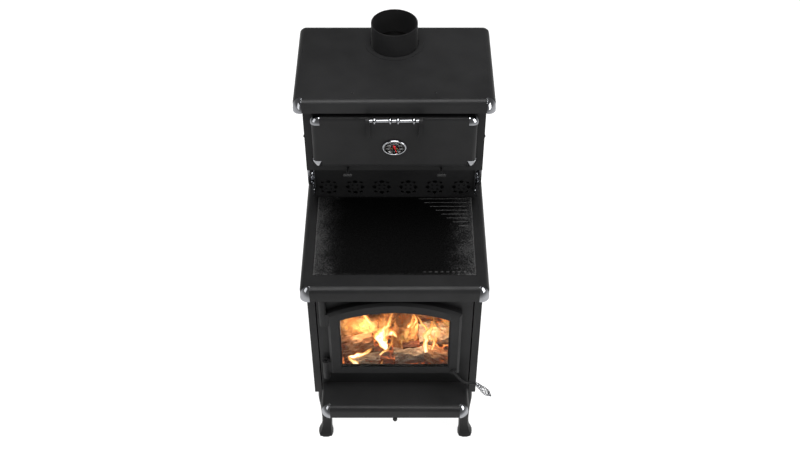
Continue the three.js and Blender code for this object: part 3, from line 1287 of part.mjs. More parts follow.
// The turned bar with its beads, and the two arms that hold it off the door.
function buildOvenHandle() {
  const profile = [[0, -BAR_HALF], [BAR_RADIUS, -BAR_HALF]];
  for (const centre of [-BEAD_X[1], -BEAD_X[0], BEAD_X[0], BEAD_X[1]]) {
    profile.push([BAR_RADIUS, centre - BEAD_LONG / 2]);
    profile.push([BEAD_RADIUS, centre - 1.5]);
    profile.push([BEAD_RADIUS, centre + 1.5]);
    profile.push([BAR_RADIUS, centre + BEAD_LONG / 2]);
  }
  profile.push([BAR_RADIUS, BAR_HALF], [0, BAR_HALF]);
  add('oven_handle_bar', revolve(profile, [0, BAR_Y, BAR_Z], X_AXIS, 14), CHROME);
  const face = OVEN_DOOR_FRONT - GAP;
  const footMiddle = OVEN_DOOR_TOP - (ARM_FOOT_LOW + ARM_FOOT_HIGH) / 2;
  const route = new THREE.QuadraticBezierCurve(
    new THREE.Vector2(face - ARM_STRIP / 2, footMiddle - 10),
    new THREE.Vector2(face - ARM_STRIP / 2 - 4, BAR_Z - 18),
    new THREE.Vector2(BAR_Y, BAR_Z),
  ).getPoints(8).map((point) => [point.x, point.y]);
  forSides((word, side) => {
    const inner = BAR_HALF + GAP;
    const [x0, x1] = side < 0 ? [-inner - ARM_WIDE, -inner] : [inner, inner + ARM_WIDE];
    const arm = sidePlate(stripShape(route, ARM_STRIP), x0, x1);
    const foot = block(
      x0, x1, face - ARM_STRIP, face, OVEN_DOOR_TOP - ARM_FOOT_LOW, OVEN_DOOR_TOP - ARM_FOOT_HIGH,
    );
    const head = rod([x0, BAR_Y, BAR_Z], [x1, BAR_Y, BAR_Z], BAR_RADIUS + 3);
    add(`oven_handle_arm_${word}`, join([arm, foot, head]), CAST_BLACK);
  });
}

// ---------------------------------------------------------------- gauge

function ellipseShape(halfWide, halfHigh) {
  const points = [];
  for (let i = 0; i < GAUGE_STEPS; i += 1) {
    const angle = (2 * Math.PI * i) / GAUGE_STEPS;
    points.push([halfWide * Math.cos(angle), GAUGE_Z + halfHigh * Math.sin(angle)]);
  }
  return polygon(points);
}

function ellipseRing(inset, y) {
  const points = [];
  for (let i = 0; i < GAUGE_STEPS; i += 1) {
    const angle = (2 * Math.PI * i) / GAUGE_STEPS;
    const x = (GAUGE_HALF_WIDE - inset) * Math.cos(angle);
    points.push(new THREE.Vector3(x, y, GAUGE_Z + (GAUGE_HALF_HIGH - inset) * Math.sin(angle)));
  }
  return points;
}

function buildGauge() {
  const seat = OVEN_DOOR_FRONT - GAP;
  const front = seat - GAUGE_PROUD;
  const outer = loft([
    ellipseRing(2.5, front), ellipseRing(0.7, front + 1.5), ellipseRing(0, front + 4), ellipseRing(0, seat),
  ]);
  const bore = loft([
    ellipseRing(GAUGE_RING - 1.5, front - 1), ellipseRing(GAUGE_RING, front + 2),
    ellipseRing(GAUGE_RING, seat + 1),
  ]);
  add('gauge_bezel', outer.subtract(bore), CHROME);
  const inset = GAUGE_RING + GAP;
  const dialShape = ellipseShape(GAUGE_HALF_WIDE - inset, GAUGE_HALF_HIGH - inset);
  const dialFront = seat - 1;
  const spindle = rod([0, dialFront - 2.2, GAUGE_Z], [0, dialFront + 1, GAUGE_Z], NEEDLE_SPINDLE);
  add('gauge_dial', join([panel(dialShape, dialFront, dialFront + GAUGE_DIAL_THICK), spindle]), DIAL_BLACK);
  const turn = (NEEDLE_ANGLE * Math.PI) / 180;
  const at = (radius) => [radius * Math.cos(turn), GAUGE_Z + radius * Math.sin(turn)];
  const needleBack = dialFront - 0.7;
  const strip = stripShape([at(-NEEDLE_TAIL), at(NEEDLE_LONG)], NEEDLE_WIDE);
  const needle = panel(strip, needleBack - NEEDLE_THICK, needleBack);
  const hub = rod([0, needleBack - NEEDLE_THICK, GAUGE_Z], [0, needleBack, GAUGE_Z], NEEDLE_HUB);
  const eye = rod([0, needleBack - 5, GAUGE_Z], [0, needleBack + 5, GAUGE_Z], NEEDLE_SPINDLE + RUN);
  add('gauge_needle', cut(join([needle, hub]), [eye]), NEEDLE_RED);
  const glassFront = front + 2.2;
  add('gauge_glass', panel(dialShape, glassFront, glassFront + GAUGE_GLASS_THICK), GLASS);
}

// ---------------------------------------------------------------- dampers

// A rod with a cross knob in front and a flat damper behind.
function buildDampers() {
  forSides((word, side) => {
    const x = side * DAMPER_X;
    const bar = rod([x, DAMPER_KNOB_Y, DAMPER_Z], [x, DAMPER_ROD_END, DAMPER_Z], DAMPER_ROD_RADIUS);
    const half = DAMPER_KNOB_LONG / 2;
    const r = DAMPER_KNOB_RADIUS;
    const profile = [
      [0, -half], [r * 0.7, -half], [r, -half + 3], [r * 0.8, 0],
      [r, half - 3], [r * 0.7, half], [0, half],
    ];
    const knob = revolve(profile, [x, DAMPER_KNOB_Y, DAMPER_Z], X_AXIS, 12);
    const plate = block(
      x - DAMPER_PLATE_HALF, x + DAMPER_PLATE_HALF, DAMPER_ROD_END - 10, DAMPER_ROD_END + DAMPER_PLATE_LONG,
      DAMPER_Z - DAMPER_PLATE_HALF_THICK, DAMPER_Z + DAMPER_PLATE_HALF_THICK,
    );
    add(`damper_${word}`, join([bar, knob, plate]), CAST_BLACK);
  });
}

// ---------------------------------------------------------------- roof and flue

function buildRoof() {
  const ring = pipe(0, FLUE_Y, ROOF_TOP - 1, ROOF_TOP + FLUE_RING_HIGH, FLUE_RING, FLUE_HOLE, FLUE_SIDES);
  const hole = rod([0, FLUE_Y, ROOF_TOP - 50], [0, FLUE_Y, ROOF_TOP + 10], FLUE_HOLE, FLUE_SIDES);
  const notches = [-1, 1].map((side) => block(
    side * NOTCH_X - NOTCH_WIDE / 2, side * NOTCH_X + NOTCH_WIDE / 2,
    ROOF_BACK - NOTCH_DEEP, ROOF_BACK + 10, ROOF_TOP - 100, ROOF_TOP + 10,
  ));
  add('roof', cut(join([rolledPan(ROOF_SIZE), ring]), [hole, ...notches]), STEEL_BLACK);
  forSides((word, side) => add(`roof_cap_${word}`, cornerCap(ROOF_SIZE, side), CHROME));
  const pipeLow = OVEN_TOP + GAP;
  const stub = pipe(0, FLUE_Y, pipeLow, FLUE_TOP, FLUE_RADIUS, FLUE_RADIUS - FLUE_WALL, FLUE_SIDES);
  add('flue_pipe', stub, STEEL_BLACK);
}

// ---------------------------------------------------------------- assembly

buildLegs();
buildBase();
buildFireboxShell();
buildBaffle(buildFirebricks());
buildHeatShields();
buildFireboxDoor();
buildLatch();
buildAshShelf();
buildAirControl();
buildCooktop();
buildBacksplash();
buildRiser();
buildScrollBrackets();
buildOvenCabinet();
buildOvenLiner();
buildOvenRack();
buildOvenDoor();
buildOvenHinges();
buildOvenHandle();
buildGauge();
buildDampers();
buildRoof();

// The finished frame has its origin on the floor, under the middle of the whole stove.
const bounds = new THREE.Box3().setFromObject(stove);
const middle = bounds.getCenter(new THREE.Vector3());
stove.position.set(-middle.x, -middle.y, -bounds.min.z);
console.log(`${stove.children.length} pieces, ${facets} facets`);

export default stove;
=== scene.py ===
"""Looks for the wood cookstove: materials, fire, dial, ribs, grip wires, fasteners, light and camera."""
import json
import math

import bpy
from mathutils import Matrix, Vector, noise


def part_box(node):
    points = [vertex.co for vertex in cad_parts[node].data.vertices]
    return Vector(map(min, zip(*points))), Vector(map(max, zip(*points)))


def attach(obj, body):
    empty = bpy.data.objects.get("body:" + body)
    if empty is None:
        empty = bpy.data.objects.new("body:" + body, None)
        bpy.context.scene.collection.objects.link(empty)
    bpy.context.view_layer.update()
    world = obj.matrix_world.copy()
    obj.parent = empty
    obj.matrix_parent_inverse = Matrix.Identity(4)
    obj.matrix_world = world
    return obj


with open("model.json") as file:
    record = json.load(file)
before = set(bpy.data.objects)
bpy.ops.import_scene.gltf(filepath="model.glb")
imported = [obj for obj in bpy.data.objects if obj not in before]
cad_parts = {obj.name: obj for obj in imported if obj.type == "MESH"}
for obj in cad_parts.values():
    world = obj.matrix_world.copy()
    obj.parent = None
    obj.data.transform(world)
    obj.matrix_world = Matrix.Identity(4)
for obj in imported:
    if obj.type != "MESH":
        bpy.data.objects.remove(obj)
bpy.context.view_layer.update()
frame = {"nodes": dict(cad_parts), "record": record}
nodes = frame["nodes"]
scene = bpy.context.scene

# Places below are in millimetres: x from the stove's middle, y from the cooktop's
# front edge towards the back, z from the floor.
roof_low, roof_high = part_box("roof")
MIDDLE_X = (roof_low.x + roof_high.x) / 2
FRONT_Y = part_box("cooktop_surround")[0].y


def at(x, y, z):
    return Vector((MIDDLE_X + x / 1000, FRONT_Y + y / 1000, z / 1000))


# ------------------------------------------------------------------ material helpers

TURNED_COSINE, FLAT_COSINE = 0.80, 0.99  # between the face's normal and the rounded one


class Nodes:
    """A short way to write a node tree."""

    def __init__(self, name):
        self.material = bpy.data.materials.new(name)
        self.material.use_nodes = True
        self.tree = self.material.node_tree
        self.shader = self.tree.nodes["Principled BSDF"]
        self.place = self.make("ShaderNodeTexCoord").outputs["Object"]

    def make(self, kind, **values):
        node = self.tree.nodes.new(kind)
        for key, value in values.items():
            setattr(node, key, value)
        return node

    def link(self, source, target):
        self.tree.links.new(source, target)

    def noise(self, scale, detail=3.0, roughness=0.5, distortion=0.0, place=None):
        node = self.make("ShaderNodeTexNoise")
        node.inputs["Scale"].default_value = scale
        node.inputs["Detail"].default_value = detail
        node.inputs["Roughness"].default_value = roughness
        node.inputs["Distortion"].default_value = distortion
        self.link(place or self.place, node.inputs["Vector"])
        return node.outputs["Fac"]

    def cells(self, scale, feature="F1"):
        node = self.make("ShaderNodeTexVoronoi", feature=feature)
        node.inputs["Scale"].default_value = scale
        self.link(self.place, node.inputs["Vector"])
        return node.outputs["Distance"]

    def stretched(self, x, y, z):
        node = self.make("ShaderNodeMapping")
        node.inputs["Scale"].default_value = (x, y, z)
        self.link(self.place, node.inputs["Vector"])
        return node.outputs["Vector"]

    def attribute(self, name):
        return self.make("ShaderNodeAttribute", attribute_name=name).outputs["Fac"]

    def axis(self, letter):
        node = self.make("ShaderNodeSeparateXYZ")
        self.link(self.place, node.inputs["Vector"])
        return node.outputs[letter]

    def ramp(self, source, stops):
        node = self.make("ShaderNodeValToRGB")
        elements = node.color_ramp.elements
        while len(elements) < len(stops):
            elements.new(0.5)
        for element, (position, colour) in zip(elements, stops):
            element.position = position
            element.color = (*colour, 1.0)
        self.link(source, node.inputs["Fac"])
        return node.outputs["Color"]

    def span(self, source, low, high, source_low=0.3, source_high=0.7):
        node = self.make("ShaderNodeMapRange")
        node.inputs["From Min"].default_value = source_low
        node.inputs["From Max"].default_value = source_high
        node.inputs["To Min"].default_value = low
        node.inputs["To Max"].default_value = high
        self.link(source, node.inputs["Value"])
        return node.outputs["Result"]

    def calc(self, operation, first, second=0.0):
        node = self.make("ShaderNodeMath", operation=operation)
        for socket, value in zip(node.inputs, (first, second)):
            if isinstance(value, (int, float)):
                socket.default_value = value
            else:
                self.link(value, socket)
        return node.outputs["Value"]

    def edges(self, radius):
        """0 on a flat face, rising to 1 where the surface turns within the radius."""
        bevel = self.make("ShaderNodeBevel", samples=4)
        bevel.inputs["Radius"].default_value = radius
        flat = self.make("ShaderNodeNewGeometry").outputs["True Normal"]
        dot = self.make("ShaderNodeVectorMath", operation="DOT_PRODUCT")
        self.link(bevel.outputs["Normal"], dot.inputs[0])
        self.link(flat, dot.inputs[1])
        return self.span(dot.outputs["Value"], 1.0, 0.0, TURNED_COSINE, FLAT_COSINE)

    def bump(self, height, strength, distance, under=None):
        node = self.make("ShaderNodeBump")
        node.inputs["Strength"].default_value = strength
        node.inputs["Distance"].default_value = distance
        self.link(height, node.inputs["Height"])
        if under is not None:
            self.link(under, node.inputs["Normal"])
        return node.outputs["Normal"]

    def set(self, **values):
        for key, value in values.items():
            socket = self.shader.inputs[key.replace("_", " ")]
            if hasattr(value, "is_linked"):
                self.link(value, socket)
            else:
                socket.default_value = value


def grey(value, tint=0.0):
    return (value, value, value * (1 + tint))


def painted(name, dark, light, rough, grain, specular):
    """Stove paint or blacked casting: uneven tone, a fine grain and rubbed edges."""
    n = Nodes(name)
    cloud = n.noise(5.0, 4.0, 0.6)
    fine = n.noise(900.0, 2.0, 0.7)
    tone = n.calc("ADD", n.span(cloud, 0.0, 0.6), n.span(fine, 0.0, 0.25))
    rubbed = n.calc("MULTIPLY", n.edges(0.0016), n.span(n.noise(45.0, 4.0, 0.7), 0.1, 0.55))
    n.set(
        Base_Color=n.ramp(n.calc("ADD", tone, rubbed), [
            (0.1, grey(dark, 0.03)), (0.8, grey(light, 0.03)), (1.0, grey(light * 1.9, 0.0)),
        ]),
        Roughness=n.span(n.noise(14.0, 5.0, 0.65), rough - 0.05, rough + 0.06),
        Specular_IOR_Level=specular,
        Sheen_Weight=0.03,
        Sheen_Roughness=0.35,
        Normal=n.bump(n.noise(700.0, 3.0, 0.6), grain, 0.0006),
    )
    return n.material


def make_chrome():
    n = Nodes("bright_chrome")
    haze = n.noise(30.0, 4.0, 0.6)
    n.set(
        Base_Color=n.ramp(haze, [(0.3, (0.28, 0.285, 0.30)), (0.7, (0.34, 0.345, 0.36))]),
        Metallic=1.0,
        Roughness=n.span(haze, 0.05, 0.12),
        Normal=n.bump(n.noise(120.0, 2.0), 0.02, 0.0004),
    )
    return n.material


def make_stainless():
    n = Nodes("brushed_stainless")
    lines = n.noise(60.0, 4.0, 0.7, place=n.stretched(1.0, 14.0, 30.0))
    heat = n.noise(3.5, 3.0, 0.5, 1.0)
    tone = n.calc("ADD", n.span(lines, 0.0, 0.5), n.span(heat, 0.0, 0.5))
    n.set(
        Base_Color=n.ramp(tone, [
            (0.1, (0.30, 0.27, 0.22)), (0.5, (0.44, 0.43, 0.42)), (0.9, (0.56, 0.56, 0.57)),
        ]),
        Metallic=1.0,
        Roughness=n.span(lines, 0.24, 0.46),
        Normal=n.bump(lines, 0.12, 0.0004),
    )
    return n.material


def make_cooktop():
    """Blacked iron with a mottled skin, dark in the middle; a painted reflection lightens it in grey
    mottles towards its sides, and a painted highlight lines its edges.
    """
    n = Nodes("cooktop_iron")
    beside = n.calc("ABSOLUTE", n.calc("SUBTRACT", n.axis("X"), MIDDLE_X))
    speckle = n.noise(260.0, 2.0, 0.6)
    cloud = n.noise(20.0, 5.0, 0.65)
    # painted reflection: the plate turns lighter and speckled towards its sides, as if the surroundings
    # showed in it
    side_reflection_and_speckle = n.calc("ADD", n.span(beside, -0.85, 0.80, 0.14, 0.268), n.span(speckle, -0.9, 0.9))
    tone = n.calc("MINIMUM", n.calc("ADD", side_reflection_and_speckle, n.span(cloud, -0.35, 0.35)), 1.0)
    # painted highlight: a light line along the plate's edges, where its bevel would catch the light
    rim = n.calc("MULTIPLY", n.edges(0.0035), 0.9)
    shade = n.calc("ADD", n.calc("MULTIPLY", tone, 0.8), rim)
    skin = n.bump(n.noise(170.0, 4.0, 0.7), 0.30, 0.0010)
    n.set(
        Base_Color=n.ramp(shade, [
            (0.0, grey(0.0012)), (0.2, grey(0.0035, 0.05)), (0.48, grey(0.014, 0.03)), (0.8, grey(0.038)),
            (1.0, grey(0.085)),
        ]),
        Roughness=n.span(n.noise(520.0, 4.0, 0.75), 0.20, 0.36),
        Specular_IOR_Level=0.30,
        Normal=n.bump(n.cells(260.0), 0.22, 0.0008, under=skin),
    )
    return n.material


def make_brick():
    n = Nodes("firebrick_buff")
    grit = n.noise(220.0, 6.0, 0.75)
    soot = n.noise(9.0, 5.0, 0.65, 0.6)
    tone = n.calc("ADD", n.span(grit, 0.0, 0.35), n.span(soot, 0.0, 0.65))
    n.set(
        Base_Color=n.ramp(tone, [
            (0.05, (0.035, 0.028, 0.022)), (0.4, (0.16, 0.11, 0.07)), (0.9, (0.46, 0.36, 0.24)),
        ]),
        Roughness=n.span(grit, 0.82, 0.98),
        Specular_IOR_Level=0.2,
        Normal=n.bump(grit, 0.6, 0.0015),
    )
    return n.material


def make_glass():
    n = Nodes("ceramic_glass")
    smear = n.noise(14.0, 5.0, 0.7, 1.2)
    n.set(
        Base_Color=n.ramp(smear, [(0.3, (1.0, 0.995, 0.985)), (0.75, (0.97, 0.95, 0.92))]),
        Roughness=n.span(smear, 0.0, 0.004),
        Transmission_Weight=1.0,
        IOR=1.12,
    )
    return n.material


def make_dial():
    n = Nodes("dial_black")
    n.set(
        Base_Color=n.ramp(n.noise(300.0, 3.0), [(0.3, grey(0.010)), (0.7, grey(0.017))]),
        Roughness=n.span(n.noise(160.0, 3.0), 0.52, 0.66),
        Specular_IOR_Level=0.15,
        Normal=n.bump(n.noise(900.0), 0.05, 0.0003),
    )
    return n.material


def make_enamel(name, colour, rough=0.45):
    n = Nodes(name)
    cloud = n.noise(400.0, 3.0)
    shade = tuple(0.8 * c for c in colour)
    n.set(
        Base_Color=n.ramp(cloud, [(0.3, shade), (0.7, colour)]),
        Roughness=n.span(cloud, rough - 0.05, rough + 0.1),
        Specular_IOR_Level=0.2,
        Normal=n.bump(n.noise(1200.0), 0.04, 0.0002),
    )
    return n.material


def make_wood(name, char, wood, pale, glow):
    """A burning log: charred furrows with embers in them, fibre between, ash on top."""
    n = Nodes(name)
    ridge = n.attribute("ridge")
    grit = n.noise(190.0, 6.0, 0.75)
    patch = n.noise(17.0, 4.0, 0.6, 0.8)
    tone = n.calc("ADD", n.span(ridge, 0.0, 0.45, 0.0, 1.0), n.span(grit, 0.0, 0.32))
    tone = n.calc("ADD", tone, n.span(patch, -0.12, 0.30))
    furrow = n.calc("MULTIPLY", n.span(ridge, 1.0, 0.0, 0.05, 0.45), n.span(patch, 1.0, 0.0, 0.38, 0.58))
    heat = n.calc("MULTIPLY", furrow, n.span(grit, 0.4, 1.0))
    n.set(
        Base_Color=n.ramp(tone, [(0.10, char), (0.48, wood), (0.92, pale)]),
        Roughness=n.span(grit, 0.80, 0.97),
        Specular_IOR_Level=0.15,
        Emission_Color=n.ramp(heat, [
            (0.1, (0.55, 0.05, 0.005)), (0.6, (1.0, 0.25, 0.04)), (1.0, (1.0, 0.6, 0.2)),
        ]),
        Emission_Strength=n.span(heat, 0.0, glow, 0.05, 0.9),
        Normal=n.bump(grit, 0.7, 0.003),
    )
    return n.material


def make_embers():
    """Ash with the glow of the embers under it."""
    n = Nodes("ash_and_embers")
    crack = n.cells(42.0, "DISTANCE_TO_EDGE")
    patch = n.noise(13.0, 4.0, 0.6, 0.5)
    dust = n.noise(240.0, 6.0, 0.8)
    heat = n.calc("MULTIPLY", n.span(crack, 1.0, 0.0, 0.0, 0.30), n.span(patch, 0.05, 1.0, 0.38, 0.62))
    n.set(
        Base_Color=n.ramp(dust, [
            (0.3, (0.05, 0.035, 0.03)), (0.55, (0.16, 0.12, 0.10)), (0.75, (0.34, 0.30, 0.27)),
        ]),
        Roughness=n.span(dust, 0.88, 0.98),
        Specular_IOR_Level=0.1,
        Emission_Color=n.ramp(heat, [
            (0.1, (0.6, 0.04, 0.004)), (0.5, (1.0, 0.22, 0.03)), (1.0, (1.0, 0.55, 0.16)),
        ]),
        Emission_Strength=n.span(heat, 0.0, 1.6, 0.05, 1.0),
        Normal=n.bump(dust, 0.8, 0.003),
    )
    return n.material


def make_flame(name, heat_gain, cover, low_lick=0.45):
    """Hot gas: white and yellow inside, orange and thin at its edges and tip."""
    n = Nodes(name)
    across = n.attribute("across")
    along = n.attribute("along")
    body = n.calc("SUBTRACT", 1.0, n.calc("MULTIPLY", across, across))
    fade = n.span(along, 1.0, 0.25, 0.25, 1.0)
    flow = n.make("ShaderNodeCombineXYZ")
    n.link(n.calc("MULTIPLY", across, 1.3), flow.inputs["X"])
    n.link(n.calc("MULTIPLY", along, 1.1), flow.inputs["Y"])
    n.link(n.calc("MULTIPLY", n.axis("X"), 9.0), flow.inputs["Z"])
    lick = n.span(n.noise(2.6, 5.0, 0.6, 0.9, place=flow.outputs["Vector"]), low_lick, 1.2, 0.36, 0.64)
    heat = n.calc("MULTIPLY", n.calc("MULTIPLY", body, fade), n.calc("MULTIPLY", lick, heat_gain))
    n.set(
        Base_Color=n.ramp(heat, [(0.0, (0.5, 0.10, 0.01)), (1.0, (0.9, 0.6, 0.25))]),
        Roughness=n.span(lick, 0.9, 1.0, 0.4, 1.2),
        Specular_IOR_Level=0.0,
        Emission_Color=n.ramp(heat, [
            (0.0, (0.70, 0.19, 0.025)), (0.30, (0.86, 0.36, 0.07)), (0.55, (0.95, 0.62, 0.17)),
            (0.78, (1.0, 0.86, 0.48)), (1.0, (1.0, 0.98, 0.86)),
        ]),
        Emission_Strength=n.span(heat, 0.55, 1.5, 0.0, 1.0),
        Alpha=n.span(heat, 0.0, cover, 0.02, 0.6),
    )
    return n.material


STEEL = painted("black_stove_paint", 0.0078, 0.0138, 0.45, 0.10, 0.15)
CAST = painted("blacked_casting", 0.0074, 0.0138, 0.49, 0.28, 0.15)
# A lighter copy of the stove paint for the backsplash: painted light, lifting the panel out of the shade
# that the oven casts on it.
LIT_PANEL_PAINT = painted("backsplash_paint_lit_copy", 0.0130, 0.0225, 0.45, 0.10, 0.15)
CHROME = make_chrome()
SLOT_MATERIAL = {
    "black_steel": STEEL, "cast_iron": CAST, "cooktop_iron": make_cooktop(), "chrome": CHROME,
    "stainless": make_stainless(), "firebrick": make_brick(), "glass": make_glass(), "dial": make_dial(),
    "needle_red": make_enamel("needle_red", (0.86, 0.003, 0.003), 0.6),
}


# ------------------------------------------------------------------ CAD nodes

MERGE_WITHIN = 0.00002
SHARP_FROM = 38  # degrees
NORMAL_WEIGHT = 80


def smooth_group():
    """Shades faces smooth, with sharp edges where the surface turns by SHARP_FROM or more."""
    group = bpy.data.node_groups.new("smooth_by_angle", "GeometryNodeTree")
    group.interface.new_socket("Geometry", in_out="INPUT", socket_type="NodeSocketGeometry")
    group.interface.new_socket("Geometry", in_out="OUTPUT", socket_type="NodeSocketGeometry")
    make = group.nodes.new
    start, end = make("NodeGroupInput"), make("NodeGroupOutput")
    merge = make("GeometryNodeMergeByDistance")
    merge.inputs["Distance"].default_value = MERGE_WITHIN
    angle = make("GeometryNodeInputMeshEdgeAngle")
    gentle = make("FunctionNodeCompare")
    gentle.operation = "LESS_THAN"
    gentle.inputs["B"].default_value = math.radians(SHARP_FROM)
    faces = make("GeometryNodeSetShadeSmooth")
    edges = make("GeometryNodeSetShadeSmooth")
    edges.domain = "EDGE"
    link = group.links.new
    link(start.outputs[0], merge.inputs["Geometry"])
    link(merge.outputs["Geometry"], faces.inputs["Geometry"])
    link(faces.outputs["Geometry"], edges.inputs["Geometry"])
    link(angle.outputs["Unsigned Angle"], gentle.inputs["A"])
    link(gentle.outputs["Result"], edges.inputs["Shade Smooth"])
    link(edges.outputs["Geometry"], end.inputs[0])
    return group


SMOOTH = smooth_group()


def smooth(obj):
    modifier = obj.modifiers.new("smooth", "NODES")
    modifier.node_group = SMOOTH
    weigh = obj.modifiers.new("weigh", "WEIGHTED_NORMAL")
    weigh.keep_sharp = True
    weigh.weight = NORMAL_WEIGHT


DOME_DEPTH = 0.45  # how far the dome's middle lies past the cap, as a share of the cap's height
DOME_BESIDE = 0.004  # and past its inner side, in metres


def domed(obj, low, high):
    """Shades a corner cap as the dome that it is pressed to; its mesh stays as it is."""
    side = 1 if (low.x + high.x) / 2 > MIDDLE_X else -1
    inner = low.x if side > 0 else high.x
    upwards = not obj.name.startswith("oven_door_cap_bottom")
    depth = DOME_DEPTH * (high.z - low.z)
    middle = low.z - depth if upwards else high.z + depth
    modifier = obj.modifiers.new("dome", "NORMAL_EDIT")
    modifier.mode = "RADIAL"
    modifier.offset = (inner - side * DOME_BESIDE, high.y, middle)
    modifier.no_polynors_fix = True


slots = {part["node"]: part["material_slot"] for part in frame["record"]["subparts"]}
for node_name, node in nodes.items():
    node.data.materials.clear()
    node.data.materials.append(SLOT_MATERIAL[slots[node_name]])
    smooth(node)
    if "_cap_" in node_name:
        domed(node, *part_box(node_name))
# the backsplash takes the lighter copy of the paint, as painted light against the oven's shade
nodes["backsplash"].data.materials[0] = LIT_PANEL_PAINT


# ------------------------------------------------------------------ mesh helpers

def piece(name, vertices, faces, material, body="stove", attributes=None):
    mesh = bpy.data.meshes.new(name)
    mesh.from_pydata([tuple(v) for v in vertices], [], faces)
    mesh.validate()
    for key, values in (attributes or {}).items():
        layer = mesh.attributes.new(key, "FLOAT", "POINT")
        layer.data.foreach_set("value", values)
    mesh.materials.append(material)
    obj = bpy.data.objects.new(name, mesh)
    scene.collection.objects.link(obj)
    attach(obj, body)
    return obj


def turned(name, centre, axis, profile, material, body="stove", sides=32):
    """A profile of [radius, height] in millimetres turned about an axis through a place."""
    axis = Vector(axis).normalized()
    turn = Vector((0, 0, 1)).rotation_difference(axis).to_matrix()
    vertices, faces = [], []
    for radius, height in profile:
        for k in range(sides):
            a = 2 * math.pi * k / sides
            local = Vector((radius * math.cos(a), radius * math.sin(a), height)) / 1000
            vertices.append(centre + turn @ local)
    for i in range(len(profile) - 1):
        for k in range(sides):
            a, b = i * sides + k, i * sides + (k + 1) % sides
            faces.append((a, b, b + sides, a + sides))
    faces.append(tuple(reversed(range(sides))))
    last = (len(profile) - 1) * sides
    faces.append(tuple(range(last, last + sides)))
    smooth(piece(name, vertices, faces, material, body))


SCREW_PROFILE = [(4.6, 0.0), (4.6, 0.9), (4.1, 1.9), (3.0, 2.6), (2.2, 2.8), (2.0, 1.6), (0.4, 1.3)]
SCREW_SIDES = 20


def screw(name, place, axis, body="stove", size=1.0):
    profile = [(radius * size, height * size) for radius, height in SCREW_PROFILE]
    turned(name, place, axis, profile, CAST, body, SCREW_SIDES)


# ------------------------------------------------------------------ logs, embers and flames

BARK_RINGS = 30
BARK_SIDES = 34
LOG_TAPER = 0.9  # a log's end against its start
BARK_RUN = 12  # how fast the bark changes along a log
END_JAG = 0.005
LOG_END_RINGS = ((0.72, 0.0015), (0.4, 0.0035))  # share of the radius, and metres sunk in


def log_radius(base, turn, along, seed):
    """The log's radius and how far its bark stands up there, from 0 in a furrow to 1."""
    flow = Vector((math.cos(turn) * 1.1, math.sin(turn) * 1.1, along * 1.6 + seed))
    furrow = Vector((math.cos(turn) * 3.6, math.sin(turn) * 3.6, along * 2.2 + seed * 3))
    ridge = min(1.0, abs(noise.noise(furrow)) * 2.6)
    chip = noise.noise(furrow * 2.7) * 0.5 + 0.5
    return base * (0.90 + 0.18 * noise.noise(flow) + 0.18 * ridge + 0.07 * chip), 0.7 * ridge + 0.3 * chip


def log(name, start, end, radius, seed, material):
    start, end = at(*start), at(*end)
    axis = end - start
    turn_to = Vector((0, 0, 1)).rotation_difference(axis.normalized()).to_matrix()
    vertices, ridges, faces = [], [], []
    for i in range(BARK_RINGS):
        along = i / (BARK_RINGS - 1)
        slim = 1 - (1 - LOG_TAPER) * along
        for k in range(BARK_SIDES):
            turn = 2 * math.pi * k / BARK_SIDES
            reach, ridge = log_radius(radius * slim, turn, along * axis.length * BARK_RUN, seed)
            jag = 0.0
            if i in (0, BARK_RINGS - 1):
                jag = END_JAG * noise.noise(Vector((turn * 2, seed, along * 7)))
            local = Vector((reach * math.cos(turn) / 1000, reach * math.sin(turn) / 1000, jag))
            vertices.append(start + axis * along + turn_to @ local)
            ridges.append(ridge)
    for i in range(BARK_RINGS - 1):
        for k in range(BARK_SIDES):
            a, b = i * BARK_SIDES + k, i * BARK_SIDES + (k + 1) % BARK_SIDES
            faces.append((a, b, b + BARK_SIDES, a + BARK_SIDES))
    for ring, centre, flip in ((0, start, True), ((BARK_RINGS - 1) * BARK_SIDES, end, False)):
        rim = [vertices[ring + k] for k in range(BARK_SIDES)]
        first = ring
        for share, sink in LOG_END_RINGS:
            inner = len(vertices)
            for k in range(BARK_SIDES):
                way = axis.normalized() * sink * (1 if flip else -1)
                vertices.append(centre.lerp(rim[k], share) + way)
                ridges.append(0.25 + 0.5 * (k % 3 == 0))
            for k in range(BARK_SIDES):
                a, b = first + k, first + (k + 1) % BARK_SIDES
                c, d = inner + (k + 1) % BARK_SIDES, inner + k
                faces.append((d, c, b, a) if flip else (a, b, c, d))
            first = inner
        cap = list(range(first, first + BARK_SIDES))
        faces.append(tuple(reversed(cap)) if flip else tuple(cap))
    smooth(piece(name, vertices, faces, material, attributes={"ridge": ridges}))


BROWN = make_wood("wood_brown", (0.040, 0.020, 0.012), (0.27, 0.13, 0.065), (0.55, 0.36, 0.22), 1.2)
ORANGE = make_wood("wood_orange", (0.06, 0.03, 0.012), (0.42, 0.22, 0.09), (0.68, 0.45, 0.22), 1.4)
ASHEN = make_wood("wood_ashen", (0.06, 0.045, 0.036), (0.30, 0.235, 0.18), (0.66, 0.56, 0.45), 0.9)
COAL = make_wood("wood_coal", (0.016, 0.007, 0.005), (0.11, 0.038, 0.022), (0.28, 0.12, 0.07), 2.2)

